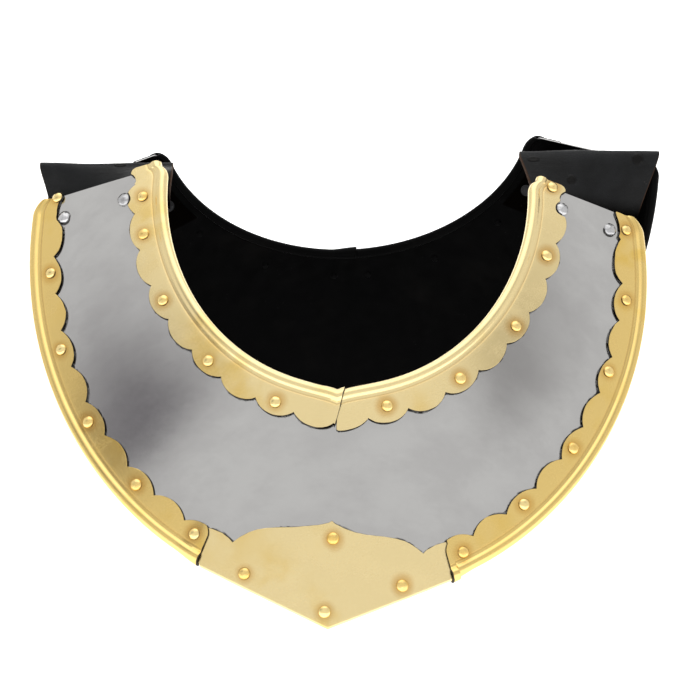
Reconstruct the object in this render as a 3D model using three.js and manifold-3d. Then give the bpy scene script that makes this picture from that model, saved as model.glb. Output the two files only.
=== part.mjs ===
// A steel gorget: a breast plate and a back plate with scalloped brass trims, joined over the
// shoulders by two leather straps. Units are millimetres, +Z is up and the breast faces -Y.
// The origin is at the middle of the neck, at the height where the straps rest on the shoulders.
import * as THREE from "three";
import { mergeVertices } from "three/addons/utils/BufferGeometryUtils.js";
import Module from "manifold-3d";

const wasm = await Module();
wasm.setup();

const { degToRad, lerp, smoothstep } = THREE.MathUtils;
const SIDES = { left: -1, right: 1 };

// Sheet thicknesses, and the clearance between neighbouring pieces.
const STEEL = 1.2;
const BRASS = 0.9;
const LEATHER = 2;
const GAP = 0.3;

// Heights over the middle of the steel, at which the other layers lie.
const TRIM_FLOOR = STEEL / 2 + GAP;
const TRIM_TOP = TRIM_FLOOR + BRASS;
const RIVET_HEEL = -1.2;
const LEATHER_MIDDLE = -3.5;
const WASHER_TOP = LEATHER_MIDDLE - LEATHER / 2 - 0.4;

// The rolled edge of a trim, and the plate's own edge inside it.
const BEAD_RADIUS = 3;
const FLAT_START = 6.4;
const TIP_HEM = 3;
const HEM_FLOOR = 1.3;

// Rows of the plate, as shares of the way from its middle to an arm; the tip plate hems the first.
const PLATE_ROWS = [
  0, 0.04, 0.1, 0.18, 0.26, 0.35, 0.44, 0.53, 0.62, 0.71, 0.8, 0.88, 0.94, 0.97, 0.985, 1];
const PLATE_COLUMNS = 5;
const TIP_SHARE = 0.2;

// Corners of the arms, and the stretch over which the trims turn to meet the arm's end.
const CORNER_RADIUS = 8;
const CORNER_REACH = 6.8;
const TURN_LENGTH = 24;

// Rivets: the domed heads, and the holes they go through.
const RIVET_SIDES = 6;
const HOLE_GAP = 0.4;
const DRILL_LENGTH = 14;
const BRASS_RIVET = { head: 2.75, dome: 1.6, shank: 1.2 };
const STEEL_RIVET = { head: 3.3, dome: 2.1, shank: 1.5 };
const JOINED_RIVET = [[0, -0.5], [2.7, -0.5], [2.5, 0.8], [0, 1.7]];
const RIVET_END = 0.8;
const WASHER = { radius: 3.3, thickness: 0.8 };

// The rim is straight from its point to here, then round, and flares towards the arms.
const POINT_SWEEP = degToRad(24);
const POINT_SLOPE = 0.4126;
const FLARE_FROM = degToRad(40);
const FLARE_OVER = degToRad(60);
const NECK_POINT_SPREAD = 7;
const KEEL_WIDTH = 8;

const BREAST = {
  name: "front",
  facing: -1,
  turn: degToRad(2.3),
  shift: 2.9,
  neck: { left: 92.1, right: 94, top: -8, drop: 101.6, point: 3.5, sweep: degToRad(94.2) },
  rim: { centre: -59.5, round: 152.9, tip: 166.4 },
  flare: { left: 13.2, right: 6.4 },
  rimSweep: { left: degToRad(102.6), right: degToRad(104.3) },
  bow: { far: 115, low: -232, lean: 0.15, curl: 0.00104, wrap: 300, keel: 0.08 },
  neckTrim: { valley: 16.6, peak: 20.7, pitch: 16.8, firstLeft: 1.2, firstRight: 13.6 },
  rimTrim: { valley: 14.3, peak: 18.5, pitch: 21.27, firstLeft: 87, firstRight: 83 },
  // Rivets along a trim, as the lobe each stands in and how far in from the edge it is.
  neckRivets: {
    left: [[1.5, 14.7], [3.5, 14.7], [5.5, 14.4], [7.4, 13.2], [8.5, 12.2]],
    right: [[0.5, 12.7], [2.5, 14.4], [4.5, 15], [6.6, 13.5], [8.8, 9.6]],
  },
  rimRivets: {
    left: [[-0.4, 11.5], [1.5, 11.8], [3.5, 10.7], [5.5, 11.8], [7.55, 12.5], [9.25, 11]],
    right: [[-0.4, 9.5], [1.5, 12.6], [3.4, 12.8], [5.6, 13.8], [7.55, 11.9], [9.2, 10.7]],
  },
  rimTrimStart: { left: 71.5, right: 65 },
  // The top line of the point's plate, from its middle peak to the notch beside each trim.
  tipCrest: {
    left: [[0, -175], [6, -176.8], [16, -178.4], [31, -179.8], [39.5, -182.2], [47, -186.6], [57, -181.5]],
    right: [[0, -175], [6, -178], [17, -181], [31, -182.2], [37.5, -184.4], [44, -188.4], [56, -182.9]],
  },
  tipRivets: [[0.8, -183.3], [-40.7, -201.9], [34.5, -204.5], [-1.8, -217.8]],
  studs: { left: [[-114, -20], [-145.9, -29.9]], right: [[111.5, -15.7], [137.4, -24.8]] },
  strapInset: {
    left: { neck: [-3, 1], shoulder: [1, 1] },
    right: { neck: [0.5, 1.5], shoulder: [-4, 0] },
  },
  stations: 3,
};

const BACK_NECK_RIVETS = [[0.5, 14.2], [2.5, 14.2], [4.5, 14.2], [6.4, 14.2]];
const BACK_RIM_RIVETS = [[-0.5, 11], [1.5, 11], [3.5, 11], [5.5, 11], [7.5, 11]];
const BACK_CREST = BREAST.tipCrest.left.map(([x, z]) => [x, z + 35]);
const BACK = {
  ...BREAST,
  name: "back",
  facing: 1,
  turn: degToRad(-2.5),
  shift: 2.7,
  neck: { left: 97.4, right: 99.3, top: 30.9, drop: 68, point: 0, sweep: degToRad(79.6) },
  rim: { centre: -25, round: 152, tip: 164.4 },
  flare: { left: 10, right: 16.5 },
  rimSweep: { left: degToRad(98), right: degToRad(98) },
  bow: { far: 121, low: -190, lean: 0.1, curl: 0.000784, wrap: 440, keel: 0.08 },
  neckTrim: { valley: 17, peak: 21, pitch: 17.2, firstLeft: 0, firstRight: 0 },
  neckRivets: { left: BACK_NECK_RIVETS, right: BACK_NECK_RIVETS },
  rimRivets: { left: BACK_RIM_RIVETS, right: BACK_RIM_RIVETS },
  tipCrest: { left: BACK_CREST, right: BACK_CREST },
  tipRivets: [[0, -148.5], [-38, -168], [38, -168], [0, -182]],
  studs: { left: [[-98, -9], [-138, -19]], right: [[98, -9], [138, -19]] },
  strapInset: {
    left: { neck: [8, 8], shoulder: [8, 8] },
    right: { neck: [8, 8], shoulder: [8, 8] },
  },
  stations: 2,
};

// The folds of the two straps: x at the neck side and at the shoulder side, and the fold's height.
const STRAP_FOLD = {
  left: { neck: -88.6, shoulder: -158.5, height: 6 },
  right: { neck: 93.6, shoulder: 167, height: 12.4 },
};
const FOLD_DEPTH = { neck: 20, shoulder: 22.6 };
const FOLD_HALF = 2.6;
const FOLD_DROP = 1.8;
const BEAD_DROP = 2.7;
const ARM_SPREAD = { neck: 0.8, shoulder: 1.2 };
const STRAP_STEP = 12;
const STRAP_COLUMNS = 5;
const BEAD_CLEARANCE = 3;
const BACK_START = { neck: 16, shoulder: 10 };

const MATERIALS = {
  steel: new THREE.MeshStandardMaterial({ color: 0xa9abae, roughness: 0.34, metalness: 1 }),
  brass: new THREE.MeshStandardMaterial({ color: 0xdcbc66, roughness: 0.28, metalness: 1 }),
  leather: new THREE.MeshStandardMaterial({ color: 0x121213, roughness: 0.5, metalness: 0 }),
};

// ---- Edges and surfaces of a plate ----------------------------------------------------------

/** One half of a plate's edge in the front view, from its middle to the corner of the arm. */
class HalfEdge extends THREE.Curve {
  constructor(plate, side) {
    super();
    this.plate = plate;
    this.side = side;
    this.arcLengthDivisions = 500;
  }

  /** The edge's point and its direction into the plate, `s` mm along from the middle. */
  frame(s) {
    const t = this.getUtoTmapping(0, s);
    const length = this.getLength();
    const blend = smoothstep(s, length - TURN_LENGTH, length);
    const inward = this.inward(t).lerp(this.armDirection, blend).normalize();
    const past = Math.max(0, s - length + CORNER_REACH);
    const tuck = CORNER_RADIUS - Math.sqrt(CORNER_RADIUS ** 2 - past ** 2);
    return { point: this.getPoint(t).addScaledVector(inward, tuck), inward };
  }
}

class NeckLine extends HalfEdge {
  getPoint(t, target = new THREE.Vector3()) {
    const { top, drop, point, sweep } = this.plate.neck;
    const half = this.plate.neck[this.side];
    const angle = t * sweep;
    const x = half * Math.sin(angle);
    const dip = point * Math.exp(-x / NECK_POINT_SPREAD);
    return target.set(SIDES[this.side] * x, 0, top - drop * Math.cos(angle) - dip);
  }

  inward(t) {
    const { drop, sweep } = this.plate.neck;
    const half = this.plate.neck[this.side];
    const across = drop * Math.sin(t * sweep);
    return new THREE.Vector3(SIDES[this.side] * across, 0, -half * Math.cos(t * sweep)).normalize();
  }
}

class RimLine extends HalfEdge {
  getPoint(t, target = new THREE.Vector3()) {
    const { centre, round, tip } = this.plate.rim;
    const flare = this.plate.flare[this.side];
    const angle = t * this.plate.rimSweep[this.side];
    const spread = Math.max(0, (angle - FLARE_FROM) / FLARE_OVER);
    const radius = angle < POINT_SWEEP
      ? tip / (Math.cos(angle) + POINT_SLOPE * Math.sin(angle))
      : round + flare * spread ** 2;
    return target.set(
      SIDES[this.side] * radius * Math.sin(angle), 0, centre - radius * Math.cos(angle));
  }

  inward(t) {
    const angle = t * this.plate.rimSweep[this.side];
    return new THREE.Vector3(-SIDES[this.side] * Math.sin(angle), 0, Math.cos(angle));
  }
}

/** A plate's curved middle surface with the lines that bound it. */
class Surface {
  constructor(plate) {
    this.plate = plate;
    this.neck = { left: new NeckLine(plate, "left"), right: new NeckLine(plate, "right") };
    this.rim = { left: new RimLine(plate, "left"), right: new RimLine(plate, "right") };
    for (const side of ["left", "right"]) {
      const across = this.rim[side].getPoint(1).sub(this.neck[side].getPoint(1)).normalize();
      this.neck[side].armDirection = across;
      this.rim[side].armDirection = across.clone().negate();
    }
  }

  /** How far the surface stands out from the middle of the neck, over a point of the front view. */
  reach(x, z) {
    const { far, low, lean, curl, wrap, keel } = this.plate.bow;
    const height = z - low;
    const sides = wrap - Math.sqrt(wrap ** 2 - x ** 2);
    const ridge = keel * (Math.hypot(x, KEEL_WIDTH) - KEEL_WIDTH);
    return far - lean * height - curl * height ** 2 - sides - ridge;
  }

  normal(x, z) {
    const step = 0.01;
    const alongX = (this.reach(x + step, z) - this.reach(x - step, z)) / (2 * step);
    const alongZ = (this.reach(x, z + step) - this.reach(x, z - step)) / (2 * step);
    return new THREE.Vector3(-alongX, this.plate.facing, -alongZ).normalize();
  }

  /** The point `height` mm outside the middle surface, over (x, z). */
  lift(x, z, height) {
    const onSurface = new THREE.Vector3(x, this.plate.facing * this.reach(x, z), z);
    return onSurface.addScaledVector(this.normal(x, z), height);
  }

  /** The point `inset` mm in from an edge and `height` mm out of the surface. */
  fromEdge(edge, s, inset, height) {
    const { point, inward } = edge.frame(s);
    point.addScaledVector(inward, inset);
    return this.lift(point.x, point.z, height);
  }

  /** A point of an arm: `across` runs from neck to shoulder, `down` in mm from the arm's end. */
  armPoint(side, across, down, height) {
    const neck = this.neck[side];
    const rim = this.rim[side];
    const inner = neck.frame(neck.getLength() - ARM_SPREAD.neck * down);
    const outer = rim.frame(rim.getLength() - ARM_SPREAD.shoulder * down);
    const inset = this.plate.strapInset[side];
    const below = Math.min(down / STRAP_STEP, 1);
    inner.point.addScaledVector(inner.inward, lerp(...inset.neck, below));
    outer.point.addScaledVector(outer.inward, lerp(...inset.shoulder, below));
    const point = inner.point.lerp(outer.point, across);
    const underNeckBead = across === 0 && inset.neck[0] < 2 * BEAD_RADIUS;
    const underBead = across === 1 || underNeckBead ? BEAD_DROP : 0;
    return this.lift(point.x, point.z, height - underBead);
  }
}

// ---- Solids ---------------------------------------------------------------------------------

/** A closed geometry from its points and triangles, with its faces turned outwards. */
function closed(points, triangles) {
  let volume = 0;
  for (const [a, b, c] of triangles) {
    volume += points[a].dot(new THREE.Vector3().crossVectors(points[b], points[c]));
  }
  const faces = volume < 0 ? triangles.map(([a, b, c]) => [a, c, b]) : triangles;
  const geometry = new THREE.BufferGeometry().setFromPoints(points);
  geometry.setIndex(faces.flat());
  return geometry;
}

/** A solid between two grids of points that have the same rows and columns. */
function shell(top, bottom) {
  const rows = top.length;
  const columns = top[0].length;
  const points = [...top.flat(), ...bottom.flat()];
  const under = rows * columns;
  const index = (row, column) => row * columns + column;
  const triangles = [];
  const quad = (a, b, c, d) => triangles.push([a, b, c], [a, c, d]);
  for (let row = 0; row + 1 < rows; row++) {
    for (let column = 0; column + 1 < columns; column++) {
      const corners = [
        index(row, column), index(row + 1, column), index(row + 1, column + 1), index(row, column + 1)];
      quad(...corners);
      quad(...corners.map((corner) => corner + under).reverse());
    }
  }
  const wall = (a, b) => quad(b, a, a + under, b + under);
  for (let row = 0; row + 1 < rows; row++) {
    wall(index(row, 0), index(row + 1, 0));
    wall(index(row + 1, columns - 1), index(row, columns - 1));
  }
  for (let column = 0; column + 1 < columns; column++) {
    wall(index(0, column + 1), index(0, column));
    wall(index(rows - 1, column), index(rows - 1, column + 1));
  }
  return closed(points, triangles);
}

/** A solid through rings of equal count; `first` and `last` are the flat outlines of its ends. */
function loft(rings, first, last) {
  const count = rings[0].length;
  const triangles = [];
  for (let ring = 0; ring + 1 < rings.length; ring++) {
    for (let i = 0; i < count; i++) {
      const a = ring * count + i;
      const b = ring * count + ((i + 1) % count);
      triangles.push([a, b, b + count], [a, b + count, a + count]);
    }
  }
  const end = (rings.length - 1) * count;
  for (const [a, b, c] of THREE.ShapeUtils.triangulateShape(first, [])) {
    triangles.push([a, c, b]);
  }
  for (const [a, b, c] of THREE.ShapeUtils.triangulateShape(last, [])) {
    triangles.push([a + end, b + end, c + end]);
  }
  return closed(rings.flat(), triangles);
}

function manifold(geometry, matrix = new THREE.Matrix4()) {
  const bare = geometry.clone().applyMatrix4(matrix);
  bare.deleteAttribute("normal");
  bare.deleteAttribute("uv");
  const merged = mergeVertices(bare, 1e-4);
  return new wasm.Manifold(new wasm.Mesh({
    numProp: 3,
    vertProperties: merged.attributes.position.array,
    triVerts: new Uint32Array(merged.index.array),
  }));
}

function fromManifold(solid) {
  const { vertProperties, triVerts } = solid.getMesh();
  const geometry = new THREE.BufferGeometry();
  geometry.setAttribute("position", new THREE.BufferAttribute(vertProperties, 3));
  geometry.setIndex(new THREE.BufferAttribute(triVerts, 1));
  return geometry;
}

/** `geometry` with a round hole at each of the matrices. */
function pierce(geometry, radius, matrices) {
  const drill = new THREE.CylinderGeometry(radius, radius, DRILL_LENGTH, RIVET_SIDES);
  let solid = manifold(geometry);
  for (const matrix of matrices) {
    solid = solid.subtract(manifold(drill, matrix));
  }
  return fromManifold(solid);
}

/** A turned solid from [radius, height] pairs that start and end on the axis. */
function turned(profile) {
  return new THREE.LatheGeometry(profile.map(([r, y]) => new THREE.Vector2(r, y)), RIVET_SIDES);
}

/** A rivet with a domed head over `seat`, and a hammered end under `heel`. */
function rivetGeometry({ head, dome, shank }, seat, heel) {
  return turned([
    [0, heel - RIVET_END],
    [shank * 1.6, heel - RIVET_END / 2],
    [shank * 1.6, heel],
    [shank, heel],
    [shank, seat],
    [head, seat],
    [head * 0.75, seat + dome * 0.72],
    [0, seat + dome],
  ]);
}

// ---- Pieces of one plate --------------------------------------------------------------------

/** The section of a trim: rolled round the plate's edge, then flat out to `width`. */
function trimSection(width) {
  const onBead = (radius, degrees) => [
    BEAD_RADIUS + radius * Math.cos(degToRad(degrees)), radius * Math.sin(degToRad(degrees))];
  const inside = BEAD_RADIUS - BRASS;
  return [
    [width, TRIM_FLOOR],
    [width, TRIM_TOP],
    [FLAT_START, TRIM_TOP],
    ...[60, 120, 180, 240, 300].map((degrees) => onBead(BEAD_RADIUS, degrees)),
    ...[300, 230, 150, 80].map((degrees) => onBead(inside, degrees)),
    [FLAT_START - 1, TRIM_FLOOR],
  ].map(([inset, height]) => new THREE.Vector2(inset, height));
}

/** The section of the point's plate: hemmed flat round the steel's edge. */
function tipSection(width) {
  const across = [1, 0.75, 0.5, 0.25].map((share) => share * width);
  return [
    ...across.toReversed().map((inset) => [inset, TRIM_FLOOR]),
    ...across.map((inset) => [inset, TRIM_TOP]),
    [0.8, TRIM_TOP],
    [0, TRIM_FLOOR],
    [0, -HEM_FLOOR],
    [0.8, -HEM_FLOOR - BRASS],
    [TIP_HEM, -HEM_FLOOR - BRASS],
    [TIP_HEM, -HEM_FLOOR],
    [BRASS, -HEM_FLOOR],
    [BRASS, TRIM_FLOOR],
  ].map(([inset, height]) => new THREE.Vector2(inset, height));
}

/** The width of a scalloped trim at `s`: shallow round lobes that meet in notches. */
function scallop({ valley, peak, pitch }, first, s) {
  const rise = peak - valley;
  const radius = (pitch ** 2 / 4 + rise ** 2) / (2 * rise);
  const along = THREE.MathUtils.euclideanModulo(s - first, pitch) - pitch / 2;
  return valley + Math.sqrt(radius ** 2 - along ** 2) - (radius - rise);
}

/** A brass trim along one half of an edge, from `start` mm to the corner of the arm. */
function trimGeometry(surface, edge, trim, first, start) {
  const { stations } = surface.plate;
  const step = trim.pitch / stations;
  const end = edge.getLength();
  const places = [start];
  const corner = end - CORNER_REACH;
  for (let k = Math.ceil((start - first + 1) / step); first + k * step < corner - 1; k++) {
    places.push(first + k * step);
  }
  places.push(corner, lerp(corner, end, 0.6), end);
  const sections = places.map((s) => trimSection(scallop(trim, first, s)));
  const rings = sections.map((section, i) =>
    section.map(({ x, y }) => surface.fromEdge(edge, places[i], x, y)));
  return loft(rings, sections.at(0), sections.at(-1));
}

/** The brass plate that covers the point, between the lower ends of the two rim trims. */
function tipGeometry(surface) {
  const { rim, rimSweep, tipCrest, rimTrimStart } = surface.plate;
  const places = [];
  for (const side of ["left", "right"]) {
    const edge = surface.rim[side];
    const end = rimTrimStart[side] - GAP;
    const half = tipCrest[side].map(([x, z]) => {
      const angle = Math.atan2(x, rim.centre - z);
      const t = angle / rimSweep[side];
      const s = edge.getLength() * edgeShare(edge, t);
      const width = edge.getPoint(t).distanceTo(new THREE.Vector3(SIDES[side] * x, 0, z));
      return { edge, s, width };
    }).filter(({ s }) => s < end - 1);
    const last = half.at(-1);
    const flared = last.width + 1.5;
    half.push({ edge, s: end, width: flared });
    places.push(...(side === "left" ? half.reverse() : half.slice(1)));
  }
  const sections = places.map(({ width }) => tipSection(width));
  const rings = sections.map((section, i) =>
    section.map(({ x, y }) => surface.fromEdge(places[i].edge, places[i].s, x, y)));
  return loft(rings, sections.at(0), sections.at(-1));
}

/** The share of an edge's length that lies before its parameter `t`. */
function edgeShare(edge, t) {
  const lengths = edge.getLengths();
  const place = t * (lengths.length - 1);
  const whole = Math.floor(place);
  const before = lerp(lengths[whole], lengths[Math.min(whole + 1, lengths.length - 1)], place - whole);
  return before / lengths.at(-1);
}

/** The steel plate: rows from arm to arm, columns from the neck to the rim. */
function plateGeometry(surface) {
  const row = (side, share, height) => {
    const neck = surface.neck[side];
    const rim = surface.rim[side];
    const inner = neck.frame(neck.getLength() * share);
    const outer = rim.frame(rim.getLength() * share);
    inner.point.addScaledVector(inner.inward, BEAD_RADIUS);
    const underTip = share < TIP_SHARE;
    outer.point.addScaledVector(outer.inward, underTip ? BRASS + GAP : BEAD_RADIUS);
    return Array.from({ length: PLATE_COLUMNS + 1 }, (_, column) => {
      const point = inner.point.clone().lerp(outer.point, column / PLATE_COLUMNS);
      return surface.lift(point.x, point.z, height);
    });
  };
  const face = (height) => [
    ...PLATE_ROWS.slice(1).reverse().map((share) => row("left", share, height)),
    ...PLATE_ROWS.map((share) => row("right", share, height)),
  ];
  return shell(face(STEEL / 2), face(-STEEL / 2));
}

/** The matrix that stands a turned piece on a surface, its axis along the surface's normal. */
function placeOn(mesh, surface, x, z) {
  mesh.position.copy(surface.lift(x, z, 0));
  mesh.quaternion.setFromUnitVectors(new THREE.Vector3(0, 1, 0), surface.normal(x, z));
  mesh.updateMatrix();
  return mesh;
}

/** Places of the brass rivets along a trim, as points of the front view. */
function trimRivetPlaces(edge, trim, first, rivets) {
  return rivets.map(([lobe, inset]) => {
    const { point, inward } = edge.frame(first + lobe * trim.pitch);
    point.addScaledVector(inward, inset);
    return [point.x, point.z];
  });
}

function firstNotch(trim, side) {
  return side === "left" ? trim.firstLeft : trim.firstRight;
}

/** All pieces of one plate, in its own frame. */
function plateGroup(plate) {
  const surface = new Surface(plate);
  const group = new THREE.Group();
  const add = (name, geometry, material) => {
    const mesh = new THREE.Mesh(geometry, material);
    mesh.name = `${plate.name}_${name}`;
    group.add(mesh);
    return mesh;
  };
  const isFront = plate === BREAST;
  const drilled = [];
  const brassHead = isFront
    ? rivetGeometry(BRASS_RIVET, TRIM_TOP + GAP, RIVET_HEEL)
    : turned(JOINED_RIVET.map(([r, y]) => [r, y + TRIM_TOP]));

  // The front's rivets are pieces of their own; the back's are joined to the brass under them.
  const finishBrass = (name, geometry, places) => {
    if (!isFront) {
      let solid = manifold(geometry);
      for (const [x, z] of places) {
        const rivet = placeOn(new THREE.Mesh(brassHead), surface, x, z);
        solid = solid.add(manifold(brassHead, rivet.matrix));
      }
      add(name, fromManifold(solid), MATERIALS.brass);
      return;
    }
    const matrices = places.map(([x, z], i) => {
      const rivet = add(`${name}_rivet_${i + 1}`, brassHead, MATERIALS.brass);
      return placeOn(rivet, surface, x, z).matrix;
    });
    drilled.push(...matrices);
    add(name, pierce(geometry, BRASS_RIVET.shank + HOLE_GAP, matrices), MATERIALS.brass);
  };

  const studMatrices = [];
  for (const side of ["left", "right"]) {
    const studHead = rivetGeometry(
      STEEL_RIVET, STEEL / 2 + GAP, WASHER_TOP - WASHER.thickness - GAP);
    plate.studs[side].forEach(([x, z], i) => {
      const stud = add(`strap_rivet_${side}_${i + 1}`, studHead, MATERIALS.steel);
      studMatrices.push(placeOn(stud, surface, x, z).matrix);
      const washer = add(`washer_${side}_${i + 1}`, washerGeometry(), MATERIALS.steel);
      placeOn(washer, surface, x, z);
    });
  }

  for (const side of ["left", "right"]) {
    const { neckTrim, rimTrim } = plate;
    const trims = [
      ["neck_trim", surface.neck[side], neckTrim, GAP / 2, plate.neckRivets[side]],
      ["edge_trim", surface.rim[side], rimTrim, plate.rimTrimStart[side], plate.rimRivets[side]],
    ];
    for (const [name, edge, trim, start, rivets] of trims) {
      const first = firstNotch(trim, side);
      const places = trimRivetPlaces(edge, trim, first, rivets);
      const strip = trimGeometry(surface, edge, trim, first, start);
      const notched = pierce(strip, STEEL_RIVET.head + HOLE_GAP, studMatrices);
      finishBrass(`${name}_${side}`, notched, places);
    }
  }
  finishBrass("tip_plate", tipGeometry(surface), plate.tipRivets);

  let steel = pierce(plateGeometry(surface), STEEL_RIVET.shank + HOLE_GAP, studMatrices);
  steel = pierce(steel, BRASS_RIVET.shank + HOLE_GAP, drilled);
  add("plate", steel, MATERIALS.steel);

  group.rotation.y = plate.turn;
  group.position.x = plate.shift;
  group.updateMatrixWorld(true);
  return { group, surface, studMatrices };
}

function washerGeometry() {
  const hole = STEEL_RIVET.shank + GAP;
  const { radius, thickness } = WASHER;
  const profile = [[hole, -thickness], [radius, -thickness], [radius, 0], [hole, 0], [hole, -thickness]];
  return new THREE.LatheGeometry(
    profile.map(([r, y]) => new THREE.Vector2(r, y + WASHER_TOP)), RIVET_SIDES);
}

// ---- Straps ---------------------------------------------------------------------------------

/** A leather strap: inside the breast's arm, up over a fold, and down inside the back's arm. */
function strapGeometry(side, breast, back) {
  const fold = STRAP_FOLD[side];
  const across = Array.from({ length: STRAP_COLUMNS + 1 }, (_, i) => i / STRAP_COLUMNS);
  const onArm = (part, down, height = LEATHER_MIDDLE) => across.map((u) => part.group.localToWorld(
    part.surface.armPoint(side, u, down(u), height)));
  const onFold = (behind, drop) => across.map((u) => new THREE.Vector3(
    lerp(fold.neck, fold.shoulder, u),
    lerp(FOLD_DEPTH.neck, FOLD_DEPTH.shoulder, u) + behind,
    fold.height - LEATHER / 2 - drop));
  const backDown = (extra) => (u) => lerp(BACK_START.neck, BACK_START.shoulder, u) + extra;
  const path = [
    onArm(breast, () => 2 * STRAP_STEP),
    onArm(breast, () => STRAP_STEP),
    onArm(breast, () => 0),
    onFold(-FOLD_HALF, FOLD_DROP),
    onFold(0, 0),
    onFold(FOLD_HALF, FOLD_DROP),
    onArm(back, backDown(-2), LEATHER_MIDDLE - BEAD_CLEARANCE),
    onArm(back, backDown(3)),
    onArm(back, backDown(3 + STRAP_STEP)),
    onArm(back, backDown(3 + 2 * STRAP_STEP)),
  ];
  const normalAt = (row, column) => {
    const ahead = path[Math.min(row + 1, path.length - 1)][column];
    const behind = path[Math.max(row - 1, 0)][column];
    const next = path[row][Math.min(column + 1, STRAP_COLUMNS)];
    const previous = path[row][Math.max(column - 1, 0)];
    const along = ahead.clone().sub(behind);
    return along.cross(next.clone().sub(previous)).normalize();
  };
  const face = (height) => path.map((row, i) =>
    row.map((point, j) => point.clone().addScaledVector(normalAt(i, j), height)));
  return shell(face(LEATHER / 2), face(-LEATHER / 2));
}

/** The world matrices of a plate's strap rivets. */
function worldStuds({ group, studMatrices }) {
  return studMatrices.map((matrix) => matrix.clone().premultiply(group.matrixWorld));
}

const breast = plateGroup(BREAST);
const back = plateGroup(BACK);
const gorget = new THREE.Group();
gorget.add(breast.group, back.group);
for (const side of ["left", "right"]) {
  const strip = strapGeometry(side, breast, back);
  const holes = [...worldStuds(breast), ...worldStuds(back)];
  const strap = new THREE.Mesh(
    pierce(strip, STEEL_RIVET.shank + HOLE_GAP, holes), MATERIALS.leather);
  strap.name = `leather_strap_${side}`;
  gorget.add(strap);
}

export default gorget;
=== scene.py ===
"""Looks of the steel gorget: fine meshes, finishes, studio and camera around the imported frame.

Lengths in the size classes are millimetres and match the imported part. A plate is drawn in its own
front view (x across, z up), lifted onto its bowed surface, and then placed in the shared frame in
metres.
"""

import logging
import math
from dataclasses import dataclass, field
from enum import Enum
from typing import Callable, Iterable, Sequence

import bpy
import numpy as np
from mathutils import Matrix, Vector, kdtree


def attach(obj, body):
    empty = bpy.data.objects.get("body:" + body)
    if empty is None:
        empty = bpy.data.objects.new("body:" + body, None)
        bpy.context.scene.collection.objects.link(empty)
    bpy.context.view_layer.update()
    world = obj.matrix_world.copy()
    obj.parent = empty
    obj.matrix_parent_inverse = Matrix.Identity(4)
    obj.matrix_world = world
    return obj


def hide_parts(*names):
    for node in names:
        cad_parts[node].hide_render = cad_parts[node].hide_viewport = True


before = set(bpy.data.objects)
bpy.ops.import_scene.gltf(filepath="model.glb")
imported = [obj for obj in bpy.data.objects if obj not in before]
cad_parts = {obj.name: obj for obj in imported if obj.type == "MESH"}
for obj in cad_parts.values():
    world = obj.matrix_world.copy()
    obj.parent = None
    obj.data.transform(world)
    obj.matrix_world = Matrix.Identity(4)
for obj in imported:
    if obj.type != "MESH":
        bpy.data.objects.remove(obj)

LOG = logging.getLogger("gorget")
MM = 0.001
SEED = 11

# Sheet thicknesses and layer heights over the middle of the steel.
STEEL = 1.2
BRASS = 0.9
LEATHER = 2.0
GAP = 0.3
TRIM_FLOOR = STEEL / 2 + GAP
TRIM_TOP = TRIM_FLOOR + BRASS
LEATHER_MIDDLE = -3.5
WASHER_TOP = LEATHER_MIDDLE - LEATHER / 2 - 0.4

# The rolled edge of a trim and the edge of the plate inside it.
BEAD_RADIUS = 3.0
CORNER_RADIUS = 8.0
CORNER_REACH = 6.8
TURN_LENGTH = 24.0

# The rim is straight from its point to here, then round, and flares towards the arms.
POINT_SWEEP = math.radians(24)
POINT_SLOPE = 0.4126
FLARE_FROM = math.radians(40)
FLARE_OVER = math.radians(60)
NECK_POINT_SPREAD = 7.0
KEEL_WIDTH = 8.0

# How far the tarnish spreads from a rivet's middle.
HALO_REACH = 6.6

# Keeps roots and divisions of zero defined.
ROOT_GUARD = 1e-9


class Side(Enum):
    """The wearer's-view side of a half edge, as its sign along x."""

    LEFT = -1
    RIGHT = 1

    @property
    def word(self) -> str:
        """The side's word in the names of nodes and pieces."""
        return self.name.lower()


class Slot(Enum):
    """The record's material slots."""

    STEEL = "steel"
    BRASS = "brass"
    RIVET_STEEL = "rivet_steel"
    LEATHER = "leather"


# ---- Sizes ------------------------------------------------------------------------------------


@dataclass(frozen=True)
class NeckShape:
    """The oval of a neck line: its half widths, top, depth, the dip at its middle and its sweep."""

    left: float
    right: float
    top: float
    drop: float
    point: float
    sweep: float


@dataclass(frozen=True)
class RimShape:
    """The outer rim: the centre of its round, its radius, its point, its flares and sweeps."""

    centre: float
    round: float
    tip: float
    flare: dict[Side, float]
    sweep: dict[Side, float]


@dataclass(frozen=True)
class Bow:
    """How a plate bows away from the neck."""

    far: float
    low: float
    lean: float
    curl: float
    wrap: float
    keel: float


@dataclass(frozen=True)
class Scallop:
    """The lobes of one trim: widths, pitch, first notch, and its rivets as (lobe, inset)."""

    valley: float
    peak: float
    pitch: float
    first: float
    rivets: tuple[tuple[float, float], ...]


@dataclass(frozen=True)
class PlateShape:
    """Everything that sizes one plate with its brass."""

    name: str
    facing: int
    turn: float
    shift: float
    neck: NeckShape
    rim: RimShape
    bow: Bow
    neck_trims: dict[Side, Scallop]
    rim_trims: dict[Side, Scallop]
    rim_start: dict[Side, float]
    crests: dict[Side, tuple[tuple[float, float], ...]]
    tip_rivets: tuple[tuple[float, float], ...]
    studs: dict[Side, tuple[tuple[float, float], ...]]
    strap_neck: dict[Side, tuple[float, float]]
    strap_shoulder: dict[Side, tuple[float, float]]


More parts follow.
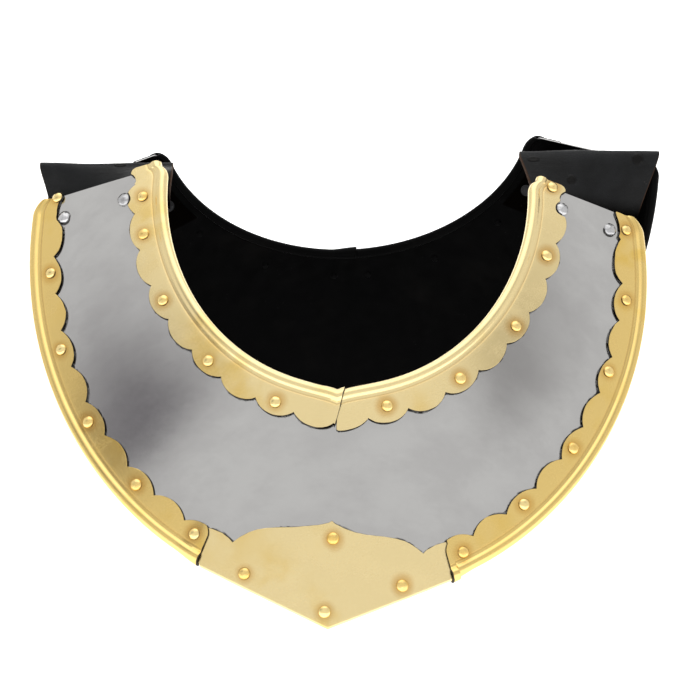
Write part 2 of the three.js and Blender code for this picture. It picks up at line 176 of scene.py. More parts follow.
BREAST = PlateShape(
    name="front",
    facing=-1,
    turn=math.radians(2.3),
    shift=2.9,
    neck=NeckShape(92.1, 94, -8, 101.6, 3.5, math.radians(94.2)),
    rim=RimShape(-59.5, 152.9, 166.4, {Side.LEFT: 13.2, Side.RIGHT: 6.4},
                 {Side.LEFT: math.radians(102.6), Side.RIGHT: math.radians(104.3)}),
    bow=Bow(115, -232, 0.15, 0.00104, 300, 0.08),
    neck_trims={
        Side.LEFT: Scallop(16.6, 20.7, 16.8, 1.2, (
            (1.5, 14.7), (3.5, 14.7), (5.5, 14.4), (7.4, 13.2), (8.5, 12.2))),
        Side.RIGHT: Scallop(16.6, 20.7, 16.8, 13.6, (
            (0.5, 12.7), (2.5, 14.4), (4.5, 15), (6.6, 13.5), (8.8, 9.6))),
    },
    rim_trims={
        Side.LEFT: Scallop(14.3, 18.5, 21.27, 87, (
            (-0.4, 11.5), (1.5, 11.8), (3.5, 10.7), (5.5, 11.8), (7.55, 12.5), (9.25, 11))),
        Side.RIGHT: Scallop(14.3, 18.5, 21.27, 83, (
            (-0.4, 9.5), (1.5, 12.6), (3.4, 12.8), (5.6, 13.8), (7.55, 11.9), (9.2, 10.7))),
    },
    rim_start={Side.LEFT: 71.5, Side.RIGHT: 65.0},
    crests={
        Side.LEFT: ((0, -175), (1.5, -175.9), (6, -177.1), (16, -178.4), (24, -179.0),
                    (31, -179.8), (35.5, -180.7), (39.5, -182.3), (43.5, -184.6), (47, -187.3),
                    (48.6, -185.6), (52, -183.2), (57, -181.5), (64, -180.4)),
        Side.RIGHT: ((0, -175), (1.5, -176.2), (6, -178.2), (11, -179.9), (17, -181.0),
                     (24, -181.5), (31, -182.3), (34.5, -183.1), (37.5, -184.4), (41, -186.6),
                     (44, -189.0), (45.8, -187.2), (50, -184.8), (56, -182.9), (62, -181.6)),
    },
    tip_rivets=((0.8, -183.3), (-40.7, -201.9), (34.5, -204.5), (-1.8, -217.8)),
    studs={
        Side.LEFT: ((-114, -20), (-145.9, -29.9)),
        Side.RIGHT: ((111.5, -15.7), (137.4, -24.8)),
    },
    strap_neck={Side.LEFT: (-3.0, 1.0), Side.RIGHT: (0.5, 1.5)},
    strap_shoulder={Side.LEFT: (1.0, 1.0), Side.RIGHT: (-4.0, 0.0)},
)

BACK_NECK_TRIM = Scallop(17, 21, 17.2, 0, ((0.5, 14.2), (2.5, 14.2), (4.5, 14.2), (6.4, 14.2)))
BACK_RIM_RIVETS = ((-0.5, 11), (1.5, 11), (3.5, 11), (5.5, 11), (7.5, 11))
BACK_CREST = tuple((x, z + 35) for x, z in BREAST.crests[Side.LEFT])
BACK = PlateShape(
    name="back",
    facing=1,
    turn=math.radians(-2.5),
    shift=2.7,
    neck=NeckShape(97.4, 99.3, 30.9, 68, 0, math.radians(79.6)),
    rim=RimShape(-25, 152, 164.4, {Side.LEFT: 10, Side.RIGHT: 16.5},
                 {Side.LEFT: math.radians(98), Side.RIGHT: math.radians(98)}),
    bow=Bow(121, -190, 0.1, 0.000784, 440, 0.08),
    neck_trims={Side.LEFT: BACK_NECK_TRIM, Side.RIGHT: BACK_NECK_TRIM},
    rim_trims={
        Side.LEFT: Scallop(14.3, 18.5, 21.27, 87, BACK_RIM_RIVETS),
        Side.RIGHT: Scallop(14.3, 18.5, 21.27, 83, BACK_RIM_RIVETS),
    },
    rim_start={Side.LEFT: 71.5, Side.RIGHT: 65.0},
    crests={Side.LEFT: BACK_CREST, Side.RIGHT: BACK_CREST},
    tip_rivets=((0, -148.5), (-38, -168), (38, -168), (0, -182)),
    studs={Side.LEFT: ((-98, -9), (-138, -19)), Side.RIGHT: ((98, -9), (138, -19))},
    strap_neck={Side.LEFT: (8.0, 8.0), Side.RIGHT: (8.0, 8.0)},
    strap_shoulder={Side.LEFT: (8.0, 8.0), Side.RIGHT: (8.0, 8.0)},
)


# ---- Edges and surfaces -----------------------------------------------------------------------


class HalfEdge:
    """One half of a plate's edge in the front view, from its middle to the corner of the arm.

    Past the corner it runs straight on, up from the arm's end.
    """

    SAMPLES = 4001

    def __init__(self, curve: Callable, inward: Callable) -> None:
        self._inward = inward
        self._curve = curve
        self._t = np.linspace(0.0, 1.0, self.SAMPLES)
        points = curve(self._t)
        steps = np.hypot(*np.diff(points, axis=0).T)
        self._s = np.concatenate([[0.0], np.cumsum(steps)])
        self.length = float(self._s[-1])
        self.arm_direction = np.zeros(2)
        self.arm_up = np.zeros(2)
        self.other: "HalfEdge | None" = None

    @property
    def corner(self) -> np.ndarray:
        """The corner of the arm before it is rounded."""
        return self._curve(np.array([1.0]))[0]

    def at(self, t: np.ndarray) -> tuple[np.ndarray, np.ndarray]:
        """The points and lengths along the edge for curve parameters.

        Args:
            t: Parameters from 0 at the middle to 1 at the arm.

        Returns:
            The points (n, 2) and the distances from the middle (n,).
        """
        return self._curve(t), np.interp(t, self._t, self._s)

    def frame(self, s: np.ndarray) -> tuple[np.ndarray, np.ndarray]:
        """The edge's points and its directions into the plate.

        Args:
            s: Distances from the middle; below zero is on the other half.

        Returns:
            Points and unit directions, both (n, 2).
        """
        s = np.asarray(s, float)
        t = np.interp(np.abs(s), self._s, self._t)
        inward = self._inward(t)
        blend = np.clip((s - self.length + TURN_LENGTH) / TURN_LENGTH, 0, 1)
        blend = (blend * blend * (3 - 2 * blend))[:, None]
        inward = inward * (1 - blend) + self.arm_direction * blend
        inward /= np.linalg.norm(inward, axis=1, keepdims=True)
        past = np.clip(s - self.length + CORNER_REACH, 0, CORNER_REACH)
        tuck = CORNER_RADIUS - np.sqrt(CORNER_RADIUS**2 - past**2)
        beyond = np.clip(s - self.length, 0, None)
        points = self._curve(t) + inward * tuck[:, None] + self.arm_up * beyond[:, None]
        if self.other is not None and np.any(s < 0):
            across = s < 0
            other_points, other_inward = self.other.frame(-s[across])
            points[across] = other_points
            inward[across] = other_inward
        return points, inward


def neck_half(shape: NeckShape, side: Side) -> HalfEdge:
    """One half of a neck line."""
    half = shape.left if side is Side.LEFT else shape.right

    def curve(t: np.ndarray) -> np.ndarray:
        angle = t * shape.sweep
        x = half * np.sin(angle)
        dip = shape.point * np.exp(-x / NECK_POINT_SPREAD)
        return np.stack([side.value * x, shape.top - shape.drop * np.cos(angle) - dip], 1)

    def inward(t: np.ndarray) -> np.ndarray:
        angle = t * shape.sweep
        ways = np.stack([side.value * shape.drop * np.sin(angle), -half * np.cos(angle)], 1)
        return ways / np.linalg.norm(ways, axis=1, keepdims=True)

    return HalfEdge(curve, inward)


def rim_half(shape: RimShape, side: Side) -> HalfEdge:
    """One half of an outer rim."""
    flare, sweep = shape.flare[side], shape.sweep[side]

    def curve(t: np.ndarray) -> np.ndarray:
        angle = t * sweep
        spread = np.maximum(0, (angle - FLARE_FROM) / FLARE_OVER)
        straight = shape.tip / (np.cos(angle) + POINT_SLOPE * np.sin(angle))
        radius = np.where(angle < POINT_SWEEP, straight, shape.round + flare * spread**2)
        return np.stack(
            [side.value * radius * np.sin(angle), shape.centre - radius * np.cos(angle)], 1)

    def inward(t: np.ndarray) -> np.ndarray:
        angle = t * sweep
        return np.stack([-side.value * np.sin(angle), np.cos(angle)], 1)

    return HalfEdge(curve, inward)


class Surface:
    """A plate's bowed middle surface, the lines that bound it, and its place in the shared frame."""

    def __init__(self, shape: PlateShape) -> None:
        self.shape = shape
        self.neck = {side: neck_half(shape.neck, side) for side in Side}
        self.rim = {side: rim_half(shape.rim, side) for side in Side}
        for side, other in ((Side.LEFT, Side.RIGHT), (Side.RIGHT, Side.LEFT)):
            way = self.rim[side].corner - self.neck[side].corner
            way /= np.linalg.norm(way)
            self.neck[side].arm_direction = way
            self.rim[side].arm_direction = -way
            up = np.array([-way[1], way[0]])
            self.neck[side].arm_up = self.rim[side].arm_up = up if up[1] > 0 else -up
            self.neck[side].other = self.neck[other]

    def reach(self, x: np.ndarray, z: np.ndarray) -> np.ndarray:
        """How far the surface stands out from the middle of the neck."""
        bow = self.shape.bow
        height = z - bow.low
        sides = bow.wrap - np.sqrt(bow.wrap**2 - x**2)
        ridge = bow.keel * (np.hypot(x, KEEL_WIDTH) - KEEL_WIDTH)
        return bow.far - bow.lean * height - bow.curl * height**2 - sides - ridge

    def normal(self, x: np.ndarray, z: np.ndarray) -> np.ndarray:
        """Unit normals (..., 3) that point out of the gorget."""
        step = 0.01
        along_x = (self.reach(x + step, z) - self.reach(x - step, z)) / (2 * step)
        along_z = (self.reach(x, z + step) - self.reach(x, z - step)) / (2 * step)
        ways = np.stack([-along_x, np.full_like(along_x, self.shape.facing), -along_z], -1)
        return ways / np.linalg.norm(ways, axis=-1, keepdims=True)

    def lift(self, flat: np.ndarray, height: np.ndarray | float) -> np.ndarray:
        """Puts points of the front view on the surface, in the shared frame.

        Args:
            flat: Points (..., 2) as x and z.
            height: Distance outside the middle surface, a number or (...).

        Returns:
            Points (..., 3) in millimetres.
        """
        x, z = flat[..., 0], flat[..., 1]
        points = np.stack([x, self.shape.facing * self.reach(x, z), z], -1)
        height = np.broadcast_to(np.asarray(height, float), x.shape)
        return self.place(points + self.normal(x, z) * height[..., None])

    def place(self, points: np.ndarray, shifted: bool = True) -> np.ndarray:
        """Turns, and if asked shifts, points of the plate's own frame into the shared frame."""
        c, s = math.cos(self.shape.turn), math.sin(self.shape.turn)
        x, y, z = points[..., 0], points[..., 1], points[..., 2]
        shift = self.shape.shift if shifted else 0.0
        return np.stack([x * c + z * s + shift, y, z * c - x * s], -1)

    def way_out(self, x: float, z: float) -> np.ndarray:
        """The outward normal over one point, in the shared frame."""
        return self.place(self.normal(np.array([x]), np.array([z])), shifted=False)[0]


def nearest(points: np.ndarray, targets: np.ndarray) -> np.ndarray:
    """Distance from each point (..., 2) to the nearest target (m, 2)."""
    tree = kdtree.KDTree(len(targets))
    for i, (x, z) in enumerate(targets):
        tree.insert((x, z, 0.0), i)
    tree.balance()
    flat = points.reshape(-1, 2)
    found = [tree.find((x, z, 0.0))[2] for x, z in flat]
    return np.array(found).reshape(points.shape[:-1])


# ---- Meshes -----------------------------------------------------------------------------------


@dataclass
class Grid:
    """A sheet as two grids of points, with what the shaders read from its vertices."""

    outer: np.ndarray
    inner: np.ndarray
    marks: dict[str, np.ndarray] = field(default_factory=dict)
    along: np.ndarray | None = None
    across: np.ndarray | None = None
    bulge: float = 0.2
    inner_material: int = 1
    wall_material: int = 0
    dark_from: int | None = None


WALL_STEPS = ((0.14, 0.62), (0.5, 1.0), (0.86, 0.62))


def border(rows: int, columns: int) -> np.ndarray:
    """Indices of a grid's outline, in order round it."""
    index = np.arange(rows * columns).reshape(rows, columns)
    return np.concatenate([
        index[0, :-1], index[:-1, -1], index[-1, :0:-1], index[:0:-1, 0]])


def inside_of_border(rows: int, columns: int) -> np.ndarray:
    """For each vertex of the outline, the vertex one step into the grid."""
    index = np.arange(rows * columns).reshape(rows, columns)
    r, c = np.divmod(border(rows, columns), columns)
    return index[np.clip(r, 1, rows - 2), np.clip(c, 1, columns - 2)]


def build_sheet(name: str, grid: Grid, materials: Sequence[bpy.types.Material]) -> bpy.types.Object:
    """A closed sheet with rounded edges between two grids.

    Args:
        name: The piece's name.
        grid: The two faces and their vertex values, in millimetres.
        materials: The piece's materials, the outer face's first.

    Returns:
        The new object at the origin, its place in its mesh, in metres.
    """
    rows, columns, _ = grid.outer.shape
    count = rows * columns
    outline = border(rows, columns)
    ring = len(outline)
    flat_outer = grid.outer.reshape(-1, 3)
    flat_inner = grid.inner.reshape(-1, 3)
    step_in = inside_of_border(rows, columns)
    away = (flat_outer[outline] + flat_inner[outline] - flat_outer[step_in] - flat_inner[step_in])
    away /= np.maximum(np.linalg.norm(away, axis=1, keepdims=True), ROOT_GUARD)
    walls = [
        flat_outer[outline] * (1 - share) + flat_inner[outline] * share + away * grid.bulge * out
        for share, out in WALL_STEPS]
    points = np.concatenate([flat_outer, flat_inner, *walls]) * MM

    index = np.arange(count).reshape(rows, columns)
    quads = np.stack(
        [index[:-1, :-1], index[1:, :-1], index[1:, 1:], index[:-1, 1:]], -1).reshape(-1, 4)
    loops = [outline, *(2 * count + k * ring + np.arange(ring) for k in range(len(walls))),
             outline + count]
    wall_quads = [
        np.stack([a, b, np.roll(b, -1), np.roll(a, -1)], -1) for a, b in zip(loops, loops[1:])]
    faces = np.concatenate([quads, quads[:, ::-1] + count, *wall_quads])
    slots = np.concatenate([
        np.zeros(len(quads), int),
        np.full(len(quads), grid.inner_material),
        np.full(len(faces) - 2 * len(quads), grid.wall_material)])
    if grid.dark_from is not None:
        column = np.tile(np.arange(columns - 1), rows - 1)
        slots[:len(quads)][column >= grid.dark_from] = grid.inner_material

    a, b, c, d = (points[faces[:, k]] for k in range(4))
    volume = np.einsum("ij,ij->i", a, np.cross(b, c) + np.cross(c, d)).sum()
    if volume < 0:
        faces = faces[:, ::-1]

    mesh = bpy.data.meshes.new(name)
    mesh.from_pydata(points.tolist(), [], faces.tolist())
    mesh.polygons.foreach_set("material_index", slots.astype(np.int32))
    for key, values in grid.marks.items():
        spread = np.concatenate([values.ravel(), values.ravel(),
                                 *([values.ravel()[outline]] * len(walls))])
        layer = mesh.attributes.new(key, "FLOAT", "POINT")
        layer.data.foreach_set("value", spread.astype(np.float32))
    if grid.along is not None:
        add_uv(mesh, grid, outline, len(walls))
    mesh.shade_smooth()
    mesh.set_sharp_from_angle(angle=math.radians(48))
    for material in materials:
        mesh.materials.append(material)
    piece = bpy.data.objects.new(name, mesh)
    bpy.context.scene.collection.objects.link(piece)
    return piece


def add_uv(mesh: bpy.types.Mesh, grid: Grid, outline: np.ndarray, walls: int) -> None:
    """Gives a sheet a UV map that runs along and across it, one unit to 100 mm."""
    uv = np.stack([grid.along.ravel(), grid.across.ravel()], 1) / 100
    uv = np.concatenate([uv, uv, *([uv[outline]] * walls)])
    corners = np.empty(len(mesh.loops), np.int32)
    mesh.loops.foreach_get("vertex_index", corners)
    layer = mesh.uv_layers.new(name="run")
    layer.data.foreach_set("uv", uv[corners].astype(np.float32).ravel())


def offset_path(insets: np.ndarray, heights: np.ndarray, by: float) -> tuple[np.ndarray, np.ndarray]:
    """Moves section paths (n, k) to their inner side by a sheet's thickness."""
    run = np.gradient(insets, axis=1)
    rise = np.gradient(heights, axis=1)
    length = np.maximum(np.hypot(run, rise), ROOT_GUARD)
    return insets - by * rise / length, heights + by * run / length


def register(piece: bpy.types.Object, nodes: Iterable[str]) -> None:
    """Fastens a piece to the frame and reports it."""
    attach(piece, "root")
    names = list(nodes)
    if names:
        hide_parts(*names)
    LOG.info("%s: %d faces, stands for %d nodes", piece.name, len(piece.data.polygons), len(names))


# ---- Node trees ---------------------------------------------------------------------------------


class Tree:
    """Short calls for adding and linking nodes in any node tree."""

    def __init__(self, tree: bpy.types.NodeTree) -> None:
        self.tree = tree
        self._count = 0

    def add(self, kind: str, inputs: dict | None = None, **settings) -> bpy.types.Node:
        """Adds a node; an input's value is a number, a colour, or a socket to link from."""
        node = self.tree.nodes.new(kind)
        self._count += 1
        node.location = (self._count % 12 * 190, -(self._count // 12) * 260)
        for key, value in settings.items():
            setattr(node, key, value)
        for key, value in (inputs or {}).items():
            socket = node.inputs[key]
            if isinstance(value, bpy.types.NodeSocket):
                self.tree.links.new(value, socket)
            else:
                socket.default_value = value
        return node

    def math(self, operation: str, a, b=0.0, clamp: bool = False) -> bpy.types.NodeSocket:
        """A math node's result."""
        kind = "ShaderNodeMath"
        return self.add(kind, {0: a, 1: b}, operation=operation, use_clamp=clamp).outputs[0]

    def band(self, value, low: float, high: float, to_low: float = 0.0,
             to_high: float = 1.0) -> bpy.types.NodeSocket:
        """A smooth step of a value from one range to another."""
        node = self.add(
            "ShaderNodeMapRange",
            {"Value": value, "From Min": low, "From Max": high, "To Min": to_low,
             "To Max": to_high},
            interpolation_type="SMOOTHSTEP")
        return node.outputs["Result"]

    def mix(self, factor, a, b) -> bpy.types.NodeSocket:
        """A mix of two colours."""
        node = self.add("ShaderNodeMix", data_type="RGBA")
        for socket, value in ((node.inputs[0], factor), (node.inputs[6], a), (node.inputs[7], b)):
            if isinstance(value, bpy.types.NodeSocket):
                self.tree.links.new(value, socket)
            else:
                socket.default_value = value if isinstance(value, float) else (*value, 1.0)[:4]
        return node.outputs[2]

    def noise(self, vector, scale: float, detail: float = 3.0, rough: float = 0.5,
              shift: float = 0.0) -> bpy.types.NodeSocket:
        """A noise value about 0.5."""
        node = self.add(
            "ShaderNodeTexNoise",
            {"Vector": vector, "Scale": scale, "Detail": detail, "Roughness": rough, "W": shift},
            noise_dimensions="4D")
        return node.outputs[0]

    def stretched(self, vector, scale: tuple[float, float, float]) -> bpy.types.NodeSocket:
        """A texture vector scaled by axis."""
        return self.add("ShaderNodeMapping", {"Vector": vector, "Scale": scale}).outputs[0]

    def mark(self, name: str) -> bpy.types.NodeSocket:
        """A value stored on the vertices."""
        node = self.add("ShaderNodeAttribute", attribute_name=name, attribute_type="GEOMETRY")
        return node.outputs["Fac"]


def shader_group(name: str, takes: dict[str, float | str], gives: Sequence[str],
                 wire: Callable) -> bpy.types.NodeTree:
    """A shared shader node group of masks and values.

    Args:
        name: The group's name.
        takes: Its inputs by name; a number for a value, "vector" for a vector.
        gives: Its outputs, all values.
        wire: Called with the tree helper and the input sockets; returns the output sockets.

    Returns:
        The new group.
    """
    group = bpy.data.node_groups.new(name, "ShaderNodeTree")
    for key, default in takes.items():
        if default == "vector":
            group.interface.new_socket(key, in_out="INPUT", socket_type="NodeSocketVector")
            continue
        socket = group.interface.new_socket(key, in_out="INPUT", socket_type="NodeSocketFloat")
        socket.default_value = default
    for key in gives:
        group.interface.new_socket(key, in_out="OUTPUT", socket_type="NodeSocketFloat")
    tree = Tree(group)
    source = tree.add("NodeGroupInput")
    results = wire(tree, source.outputs)
    target = tree.add("NodeGroupOutput")
    for key, result in zip(gives, results):
        group.links.new(result, target.inputs[key])
    return group


def wire_residue(tree: Tree, given) -> list:
    """Dark polish residue along a seam, with painted shade of the gap under the brass edge, patchy and
    of uneven width.
    """
    where = given["Vector"]
    patch = tree.noise(where, 90.0, 2.0)
    fine = tree.noise(where, 420.0, 3.0, 0.6)
    width = tree.math("MULTIPLY", given["Width"], tree.band(patch, 0.36, 0.66, 0.35, 1.5))
    ragged = tree.math("MULTIPLY", tree.math("SUBTRACT", fine, 0.5), given["Ragged"])
    reach = tree.math("SUBTRACT", given["Distance"], ragged)
    share = tree.math("DIVIDE", reach, width)
    return [tree.band(share, 1.25, 0.55)]


def wire_grain(tree: Tree, given) -> list:
    """The fine grain of worn-in polishing, stretched one way, with rare deeper scratches."""
    where = given["Vector"]
    lines = tree.noise(tree.stretched(where, (1.2, 95.0, 95.0)), 26.0, 4.0, 0.62)
    cross = tree.noise(tree.stretched(where, (42.0, 2.0, 42.0)), 30.0, 3.0, 0.55, 3.0)
    grain = tree.math("ADD", tree.math("MULTIPLY", lines, 0.72), tree.math("MULTIPLY", cross, 0.28))
    rare = tree.noise(tree.stretched(where, (3.0, 150.0, 150.0)), 11.0, 2.0, 0.5, 8.0)
    return [grain, tree.band(rare, 0.68, 0.74)]


def wire_tarnish(tree: Tree, given) -> list:
    """Warm tarnish about the rivets and in soft clouds."""
    where = given["Vector"]
    cloud = tree.noise(where, 34.0, 3.0, 0.55)
    broad = tree.noise(where, 13.0, 2.0, 0.5, 5.0)
    uneven = tree.math("MULTIPLY", tree.math("SUBTRACT", cloud, 0.5), 7.0)
    halo = tree.band(tree.math("ADD", given["Distance"], uneven), HALO_REACH, 2.2)
    clouds = tree.math("MULTIPLY", tree.band(cloud, 0.46, 0.68), tree.band(broad, 0.4, 0.62))
    return [halo, clouds]


def wire_dust(tree: Tree, given) -> list:
    """Specks and faint finger marks."""
    where = given["Vector"]
    specks = tree.add("ShaderNodeTexVoronoi", {"Vector": where, "Scale": 620.0}).outputs["Distance"]
    some = tree.band(tree.noise(where, 160.0, 1.0, 0.5, 2.0), 0.6, 0.7)
    smear = tree.noise(tree.stretched(where, (1.0, 2.6, 1.4)), 30.0, 4.0, 0.6, 7.0)
    return [tree.math("MULTIPLY", tree.band(specks, 0.16, 0.08), some), smear]


class Effects:
    """The shader groups that the finishes share."""

    def __init__(self) -> None:
        # The seam group paints a dark line that is partly polish residue and partly painted shade of
        # the gap at a brass edge.
        self.residue = shader_group(
            "seam_residue", {"Vector": "vector", "Distance": 1.0, "Width": 0.6, "Ragged": 0.5},
            ["Mask"], wire_residue)
        self.grain = shader_group(
            "polished_grain", {"Vector": "vector"}, ["Grain", "Scratch"], wire_grain)
        self.tarnish = shader_group(
            "warm_tarnish", {"Vector": "vector", "Distance": 10.0}, ["Halo", "Clouds"],
            wire_tarnish)
        self.dust = shader_group("dust", {"Vector": "vector"}, ["Specks", "Smear"], wire_dust)


def use(tree: Tree, group: bpy.types.NodeTree, **inputs) -> bpy.types.bpy_prop_collection:
    """Adds a group node to a material and returns its outputs."""
    node = tree.add("ShaderNodeGroup", node_tree=group)
    for key, value in inputs.items():
        if isinstance(value, bpy.types.NodeSocket):
            tree.tree.links.new(value, node.inputs[key])
        else:
            node.inputs[key].default_value = value
    return node.outputs


def principled(name: str) -> tuple[bpy.types.Material, Tree, bpy.types.Node]:
    """A new node material with its Principled shader."""
    material = bpy.data.materials.new(name)
    material.use_nodes = True
    tree = Tree(material.node_tree)
    return material, tree, material.node_tree.nodes["Principled BSDF"]


def bump(tree: Tree, shader: bpy.types.Node, height, distance: float, strength: float = 1.0) -> None:
    """Feeds a height into a shader's normal."""
    node = tree.add(
        "ShaderNodeBump", {"Height": height, "Distance": distance, "Strength": strength})
    tree.tree.links.new(node.outputs["Normal"], shader.inputs["Normal"])


# ---- Finishes -----------------------------------------------------------------------------------


@dataclass(frozen=True)
class SteelFinish:
    """Satin polished steel sheet with a dark line along the brass and round the strap rivets, partly
    polish residue and partly painted shade of the gap.
    """

    light: tuple[float, float, float] = (0.555, 0.552, 0.545)
    dull: tuple[float, float, float] = (0.50, 0.495, 0.49)
    # The near-black of the seam line: polish residue and painted shade of the gap under the brass.
    residue: tuple[float, float, float] = (0.012, 0.011, 0.010)
    rough_low: float = 0.12
    rough_high: float = 0.21
    seam_width: float = 0.52

    def build(self, effects: Effects) -> bpy.types.Material:
        """Makes the material.

        Args:
            effects: The shared shader groups.

        Returns:
            The material.
        """
        material, tree, shader = principled("polished_steel")
        where = tree.add("ShaderNodeTexCoord").outputs["Object"]
        run = tree.add("ShaderNodeUVMap", uv_map="run").outputs[0]
        grain = use(tree, effects.grain, Vector=run)
        dust = use(tree, effects.dust, Vector=where)
        # Mask of the seam line along the brass and round the strap rivets: partly polish residue,
        # partly painted shade; it also takes away the metal's shine.
        seam = use(tree, effects.residue, Vector=where, Distance=tree.mark("seam"),
                   Width=self.seam_width, Ragged=0.5)["Mask"]
        near = tree.band(tree.mark("seam"), 7.0, 0.6)
        base = tree.mix(tree.band(dust["Smear"], 0.35, 0.7), self.light, self.dull)
        base = tree.mix(tree.math("MULTIPLY", near, 0.35), base, self.dull)
        base = tree.mix(seam, base, self.residue)
        rough = tree.band(grain["Grain"], 0.3, 0.72, self.rough_low, self.rough_high)
        rough = tree.math("ADD", rough, tree.math("MULTIPLY", grain["Scratch"], 0.06))
        rough = tree.math("ADD", rough, tree.math("MULTIPLY", seam, 0.4))
        links = tree.tree.links
        links.new(base, shader.inputs["Base Color"])
        links.new(rough, shader.inputs["Roughness"])
        links.new(tree.math("SUBTRACT", 1.0, seam), shader.inputs["Metallic"])
        bump(tree, shader, grain["Grain"], 0.000012)
        return material


@dataclass(frozen=True)
class BrassFinish:
    """Polished sheet brass with soft golden clouds and tarnish about its rivets, and a dark line at
    its cut edge and round each rivet's foot that is partly polish residue, partly painted shade.
    """

    light: tuple[float, float, float] = (0.88, 0.715, 0.375)
    golden: tuple[float, float, float] = (0.80, 0.555, 0.155)
    tarnish: tuple[float, float, float] = (0.62, 0.34, 0.07)
    # The near-black of the edge line and the rivet rings: polish residue and painted shade of the
    # gaps.
    residue: tuple[float, float, float] = (0.02, 0.013, 0.006)
    rough_low: float = 0.17
    rough_high: float = 0.30

    def build(self, effects: Effects) -> bpy.types.Material:
        """Makes the material.

        Args:
            effects: The shared shader groups.

        Returns:
            The material.
        """
        material, tree, shader = principled("polished_brass")
        where = tree.add("ShaderNodeTexCoord").outputs["Object"]
        run = tree.add("ShaderNodeUVMap", uv_map="run").outputs[0]
        grain = use(tree, effects.grain, Vector=run)
        tarnish = use(tree, effects.tarnish, Vector=where, Distance=tree.mark("rivet"))
        dust = use(tree, effects.dust, Vector=where)
        # Dark line along the cut edge: polish residue with painted shade of the gap under the edge.
        lip = use(tree, effects.residue, Vector=where, Distance=tree.mark("lip"), Width=0.22,
                  Ragged=0.25)["Mask"]
        # Dark ring round each rivet's foot: painted shade in the gap under the head, with some polish
        # residue.
        ring = tree.band(tree.mark("rivet"), 3.15, 2.75)
        groove = tree.band(tree.mark("groove"), 0.62, 0.2)
        warm = tree.math("MULTIPLY", tarnish["Clouds"], 0.75)
        warm = tree.math("ADD", warm, tree.mark("golden"), True)
        base = tree.mix(warm, self.light, self.golden)
        base = tree.mix(tree.math("MULTIPLY", tarnish["Halo"], 0.62), base, self.tarnish)
        base = tree.mix(tree.math("MULTIPLY", groove, 0.3), base, self.tarnish)
        # The darkening mask: residue in the groove, and residue with painted shade at the edge and
        # round the rivets.
        dirt_and_shade = tree.math("MAXIMUM", lip, tree.math("MULTIPLY", ring, 0.85))
        dirt_and_shade = tree.math("MAXIMUM", dirt_and_shade, tree.math("MULTIPLY", groove, 0.12))
        base = tree.mix(dirt_and_shade, base, self.residue)
        rough = tree.band(grain["Grain"], 0.3, 0.72, self.rough_low, self.rough_high)
        smear = tree.math("MULTIPLY", tree.band(dust["Smear"], 0.45, 0.7), 0.08)
        rough = tree.math("ADD", tree.math("ADD", rough, smear),
                          tree.math("MULTIPLY", dirt_and_shade, 0.35))
        links = tree.tree.links
        links.new(base, shader.inputs["Base Color"])
        links.new(rough, shader.inputs["Roughness"])
        links.new(tree.math("SUBTRACT", 1.0, tree.math("MULTIPLY", dirt_and_shade, 0.8)),
                  shader.inputs["Metallic"])
        wavy = tree.noise(where, 26.0, 2.0, 0.5, 1.0)
        height = tree.math("ADD", tree.math("MULTIPLY", grain["Grain"], 0.03), wavy)
        bump(tree, shader, height, 0.00035)
        return material


@dataclass(frozen=True)
class RivetFinish:
    """A hammered and polished rivet head, with painted shade round its foot where it meets the sheet.
    """

    name: str
    light: tuple[float, float, float]
    dull: tuple[float, float, float]
    # The colour of the painted shade at the foot of the head.
    foot: tuple[float, float, float] = (0.02, 0.014, 0.008)
    rough: float = 0.2

    def build(self, effects: Effects) -> bpy.types.Material:
        """Makes the material.

        Args:
            effects: The shared shader groups.

        Returns:
            The material.
        """
        material, tree, shader = principled(self.name)
        where = tree.add("ShaderNodeTexCoord").outputs["Object"]
        dust = use(tree, effects.dust, Vector=where)
        # Painted shade: the lowest part of the dome is darkened where the head meets the sheet.
        foot = tree.band(tree.mark("dome"), 0.16, 0.02)
        worn = tree.band(dust["Smear"], 0.4, 0.66)
        base = tree.mix(worn, self.light, self.dull)
        base = tree.mix(tree.math("MULTIPLY", foot, 0.8), base, self.foot)
        pits = tree.add("ShaderNodeTexVoronoi", {"Vector": where, "Scale": 1500.0})
        pitted = tree.band(pits.outputs["Distance"], 0.28, 0.1)
        links = tree.tree.links
        links.new(base, shader.inputs["Base Color"])
        links.new(tree.math("ADD", self.rough, tree.math("MULTIPLY", worn, 0.12)),
                  shader.inputs["Roughness"])
        shader.inputs["Metallic"].default_value = 1.0
        bump(tree, shader, tree.math("SUBTRACT", 1.0, pitted), 0.00004)
        return material


@dataclass(frozen=True)
class PaintFinish:
    """Black paint brushed on the inside of the metal."""

    colour: tuple[float, float, float] = (0.0007, 0.0007, 0.0008)
    rubbed: tuple[float, float, float] = (0.002, 0.0019, 0.0018)
    rough_low: float = 0.3
    rough_high: float = 0.48

    def build(self, effects: Effects) -> bpy.types.Material:
        """Makes the material.

        Args:
            effects: The shared shader groups.

        Returns:
            The material.
        """
        material, tree, shader = principled("black_paint")
        where = tree.add("ShaderNodeTexCoord").outputs["Object"]
        dust = use(tree, effects.dust, Vector=where)
        strokes = tree.noise(tree.stretched(where, (1.0, 4.0, 0.35)), 130.0, 4.0, 0.6)
        base = tree.mix(tree.band(dust["Smear"], 0.5, 0.75), self.colour, self.rubbed)
        base = tree.mix(tree.math("MULTIPLY", dust["Specks"], 0.5), base, (0.03, 0.029, 0.028))
        links = tree.tree.links
        links.new(base, shader.inputs["Base Color"])
        links.new(tree.band(strokes, 0.3, 0.7, self.rough_low, self.rough_high),
                  shader.inputs["Roughness"])
        shader.inputs["Specular IOR Level"].default_value = 0.03
        bump(tree, shader, strokes, 0.00012, 0.6)
        return material


